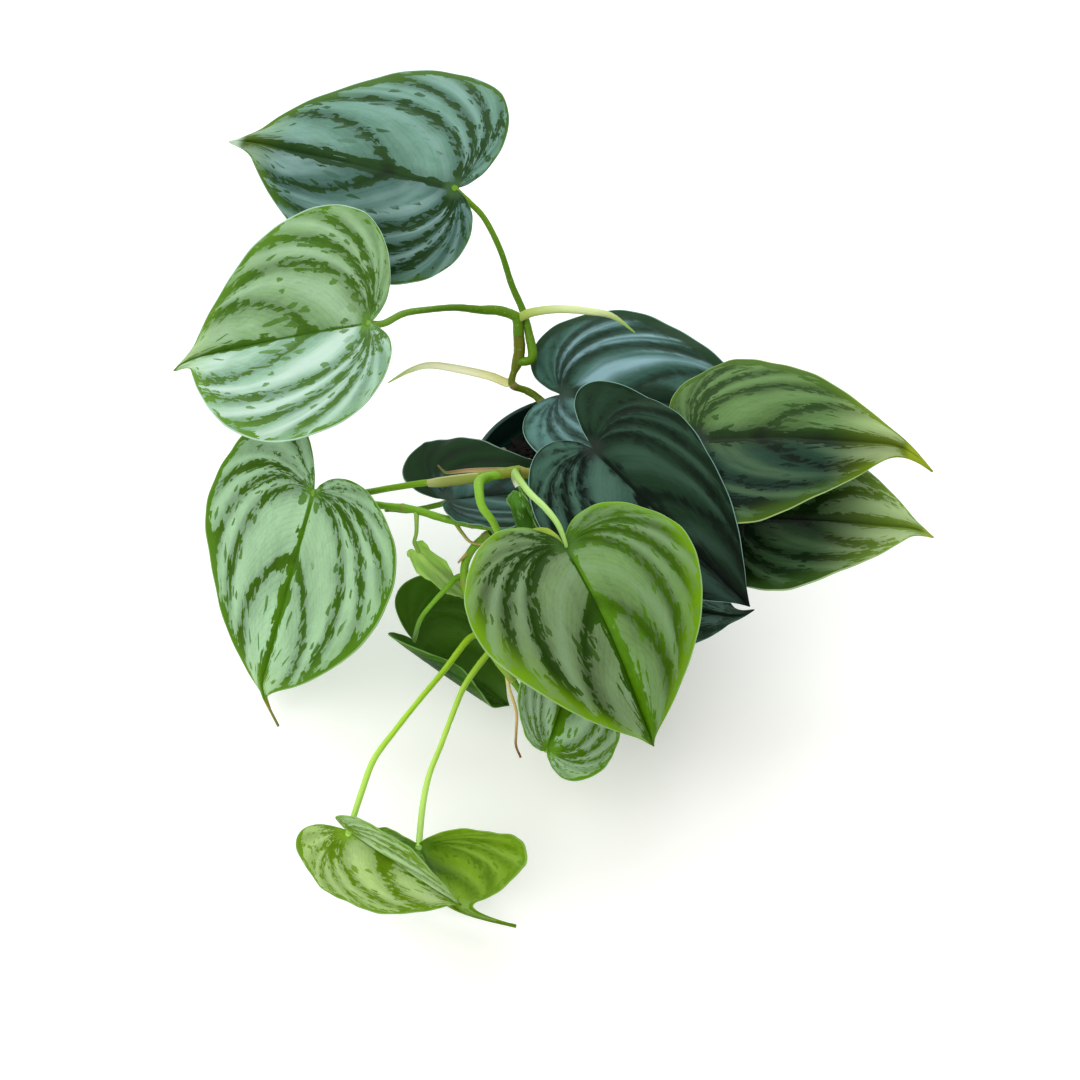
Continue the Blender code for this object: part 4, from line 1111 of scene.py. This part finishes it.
def make_soil():
    """The filled inside of the pot with a lumpy top, bark chips, perlite grains and fibre crumbs."""
    low = POT_WALL + SOIL_GAP
    shoulder = SOIL_TOP - 2
    wall = inner_radius(shoulder) - SOIL_GAP
    radii = np.array([inner_radius(low) - SOIL_GAP - 1, inner_radius(low + 1) - SOIL_GAP, wall,
                      *np.linspace(wall - 0.2, 1, SOIL_RINGS)])
    rings = round_z(radii[:, None], full_turn(SOIL_SIDES), 0.0)
    rings[..., 2] = soil_height(rings[..., 0], rings[..., 1])
    rings[:3, :, 2] = np.array([low, low + 1, shoulder])[:, None]
    points, faces = loft(rings)
    make_piece("soil_mix", points, faces, earth_material("soil_mix", (4, 4, 3), (12, 11, 8), 300, 1.2),
               ["soil"], {})
    rng = np.random.default_rng(SOIL_SEED)
    for name, crumb in CRUMBS.items():
        scatter(name, crumb, rng)


def make_leaves():
    """Every blade with its own look."""
    slots = {**dict.fromkeys((1, 4, 5, 8, 10), "leaf_dark"), **dict.fromkeys((6, 7, 11, 16), "leaf_mid")}
    for number, blade in BLADES.items():
        look = PLAIN._replace(seed=int(number), **LOOKS[number])
        make_leaf(number, blade, look)


def make_stalks():
    """Leaf stalks that run up to the place where the two halves of the blade meet."""
    for number, stalk_of in STALKS.items():
        blade = BLADES[number]
        at = np.array(blade.at)
        up = blade_axes(blade)[2]
        under = stalk_of.side == "under"
        arrival = unit(at - stalk_of.route[-1])
        away = (0.5 + stalk_of.top * np.linalg.norm(np.cross(arrival, up))) * (-1 if under else 1)
        ends = [at + 0.6 * away * up, at + (0.4 if under else -0.2) * up]
        if number in HIDDEN_KNOBS:
            ends = [at - 0.9 * up]
        route = [*stalk_of.route, *ends]
        material = stem_material("stalk_skin_" + number, stalk_of.tints, route_length(route))
        make_stem("leaf_stalk_" + number, route, stalk_of.radii, [], material,
                  ["stalk_" + number])


def make_stems():
    """The climbing stems, side shoot, stubs and dried root."""
    for name, stem in STEMS.items():
        material = stem_material(name + "_skin", stem.tints, route_length(stem.route))
        make_stem(name.replace("stem", "vine"), stem.route, stem.radii, stem.nodes_at, material,
                  packed(name))


def make_sheaths():
    """The cream sheaths at the stem's nodes, the dried one, the clasp, and the turned-up leaf edge."""
    for name, sheath in SHEATHS.items():
        material = sheath_material(name + "_skin", sheath.tints, route_length(sheath.route), sheath.edge)
        make_sheath(name, sheath, material)


def add_area(name, place, target, size, power, colour):
    """A soft lamp at a place, aimed at a target, in metres and watts."""
    lamp = bpy.data.lights.new(name, "AREA")
    lamp.shape = "RECTANGLE"
    lamp.size, lamp.size_y = size
    lamp.energy = power
    lamp.color = colour
    holder = put(name, lamp)
    aim = Vector(target) - Vector(place)
    holder.location = place
    holder.rotation_euler = aim.to_track_quat("-Z", "Y").to_euler()


def make_studio():
    """The pale floor, the white surroundings, the lamps and the camera."""
    floor = bpy.data.meshes.new("floor")
    corners = [(x * FLOOR_REACH, y * FLOOR_REACH, 0) for x, y in ((-1, -1), (1, -1), (1, 1), (-1, 1))]
    floor.from_pydata(corners, [], [(0, 1, 2, 3)])
    material, start = new_material("pale_floor")
    surface = start.node("BsdfPrincipled", {}, {"Base Color": tint(FLOOR_COLOUR), "Roughness": 0.8,
                                                "Emission Color": tint(FLOOR_GLOW_COLOUR),
                                                "Emission Strength": FLOOR_GLOW})
    start.node("OutputMaterial", {"target": "ALL"}, {"Surface": surface}, ())
    floor.materials.append(material)
    ground = put("floor", floor)

    world = bpy.data.worlds.new("studio")
    bpy.context.scene.world = world
    world.use_nodes = True
    background = world.node_tree.nodes["Background"]
    background.inputs["Color"].default_value = WORLD_COLOUR
    background.inputs["Strength"].default_value = WORLD_LIGHT
    for name, values in LAMPS.items():
        add_area(name, *values)

    camera = bpy.data.cameras.new("camera")
    camera.lens = CAMERA_LENS
    camera.sensor_width = CAMERA_SENSOR
    camera.clip_start = CAMERA_NEAR
    holder = put("camera", camera)
    holder.location = CAMERA_AT
    holder.rotation_euler = (np.radians(CAMERA_TILT), 0, 0)
    bpy.context.scene.camera = holder
    bpy.context.scene.view_settings.view_transform = "Standard"


make_studio()
make_pot()
make_soil()
make_leaves()
make_stalks()
make_stems()
make_sheaths()
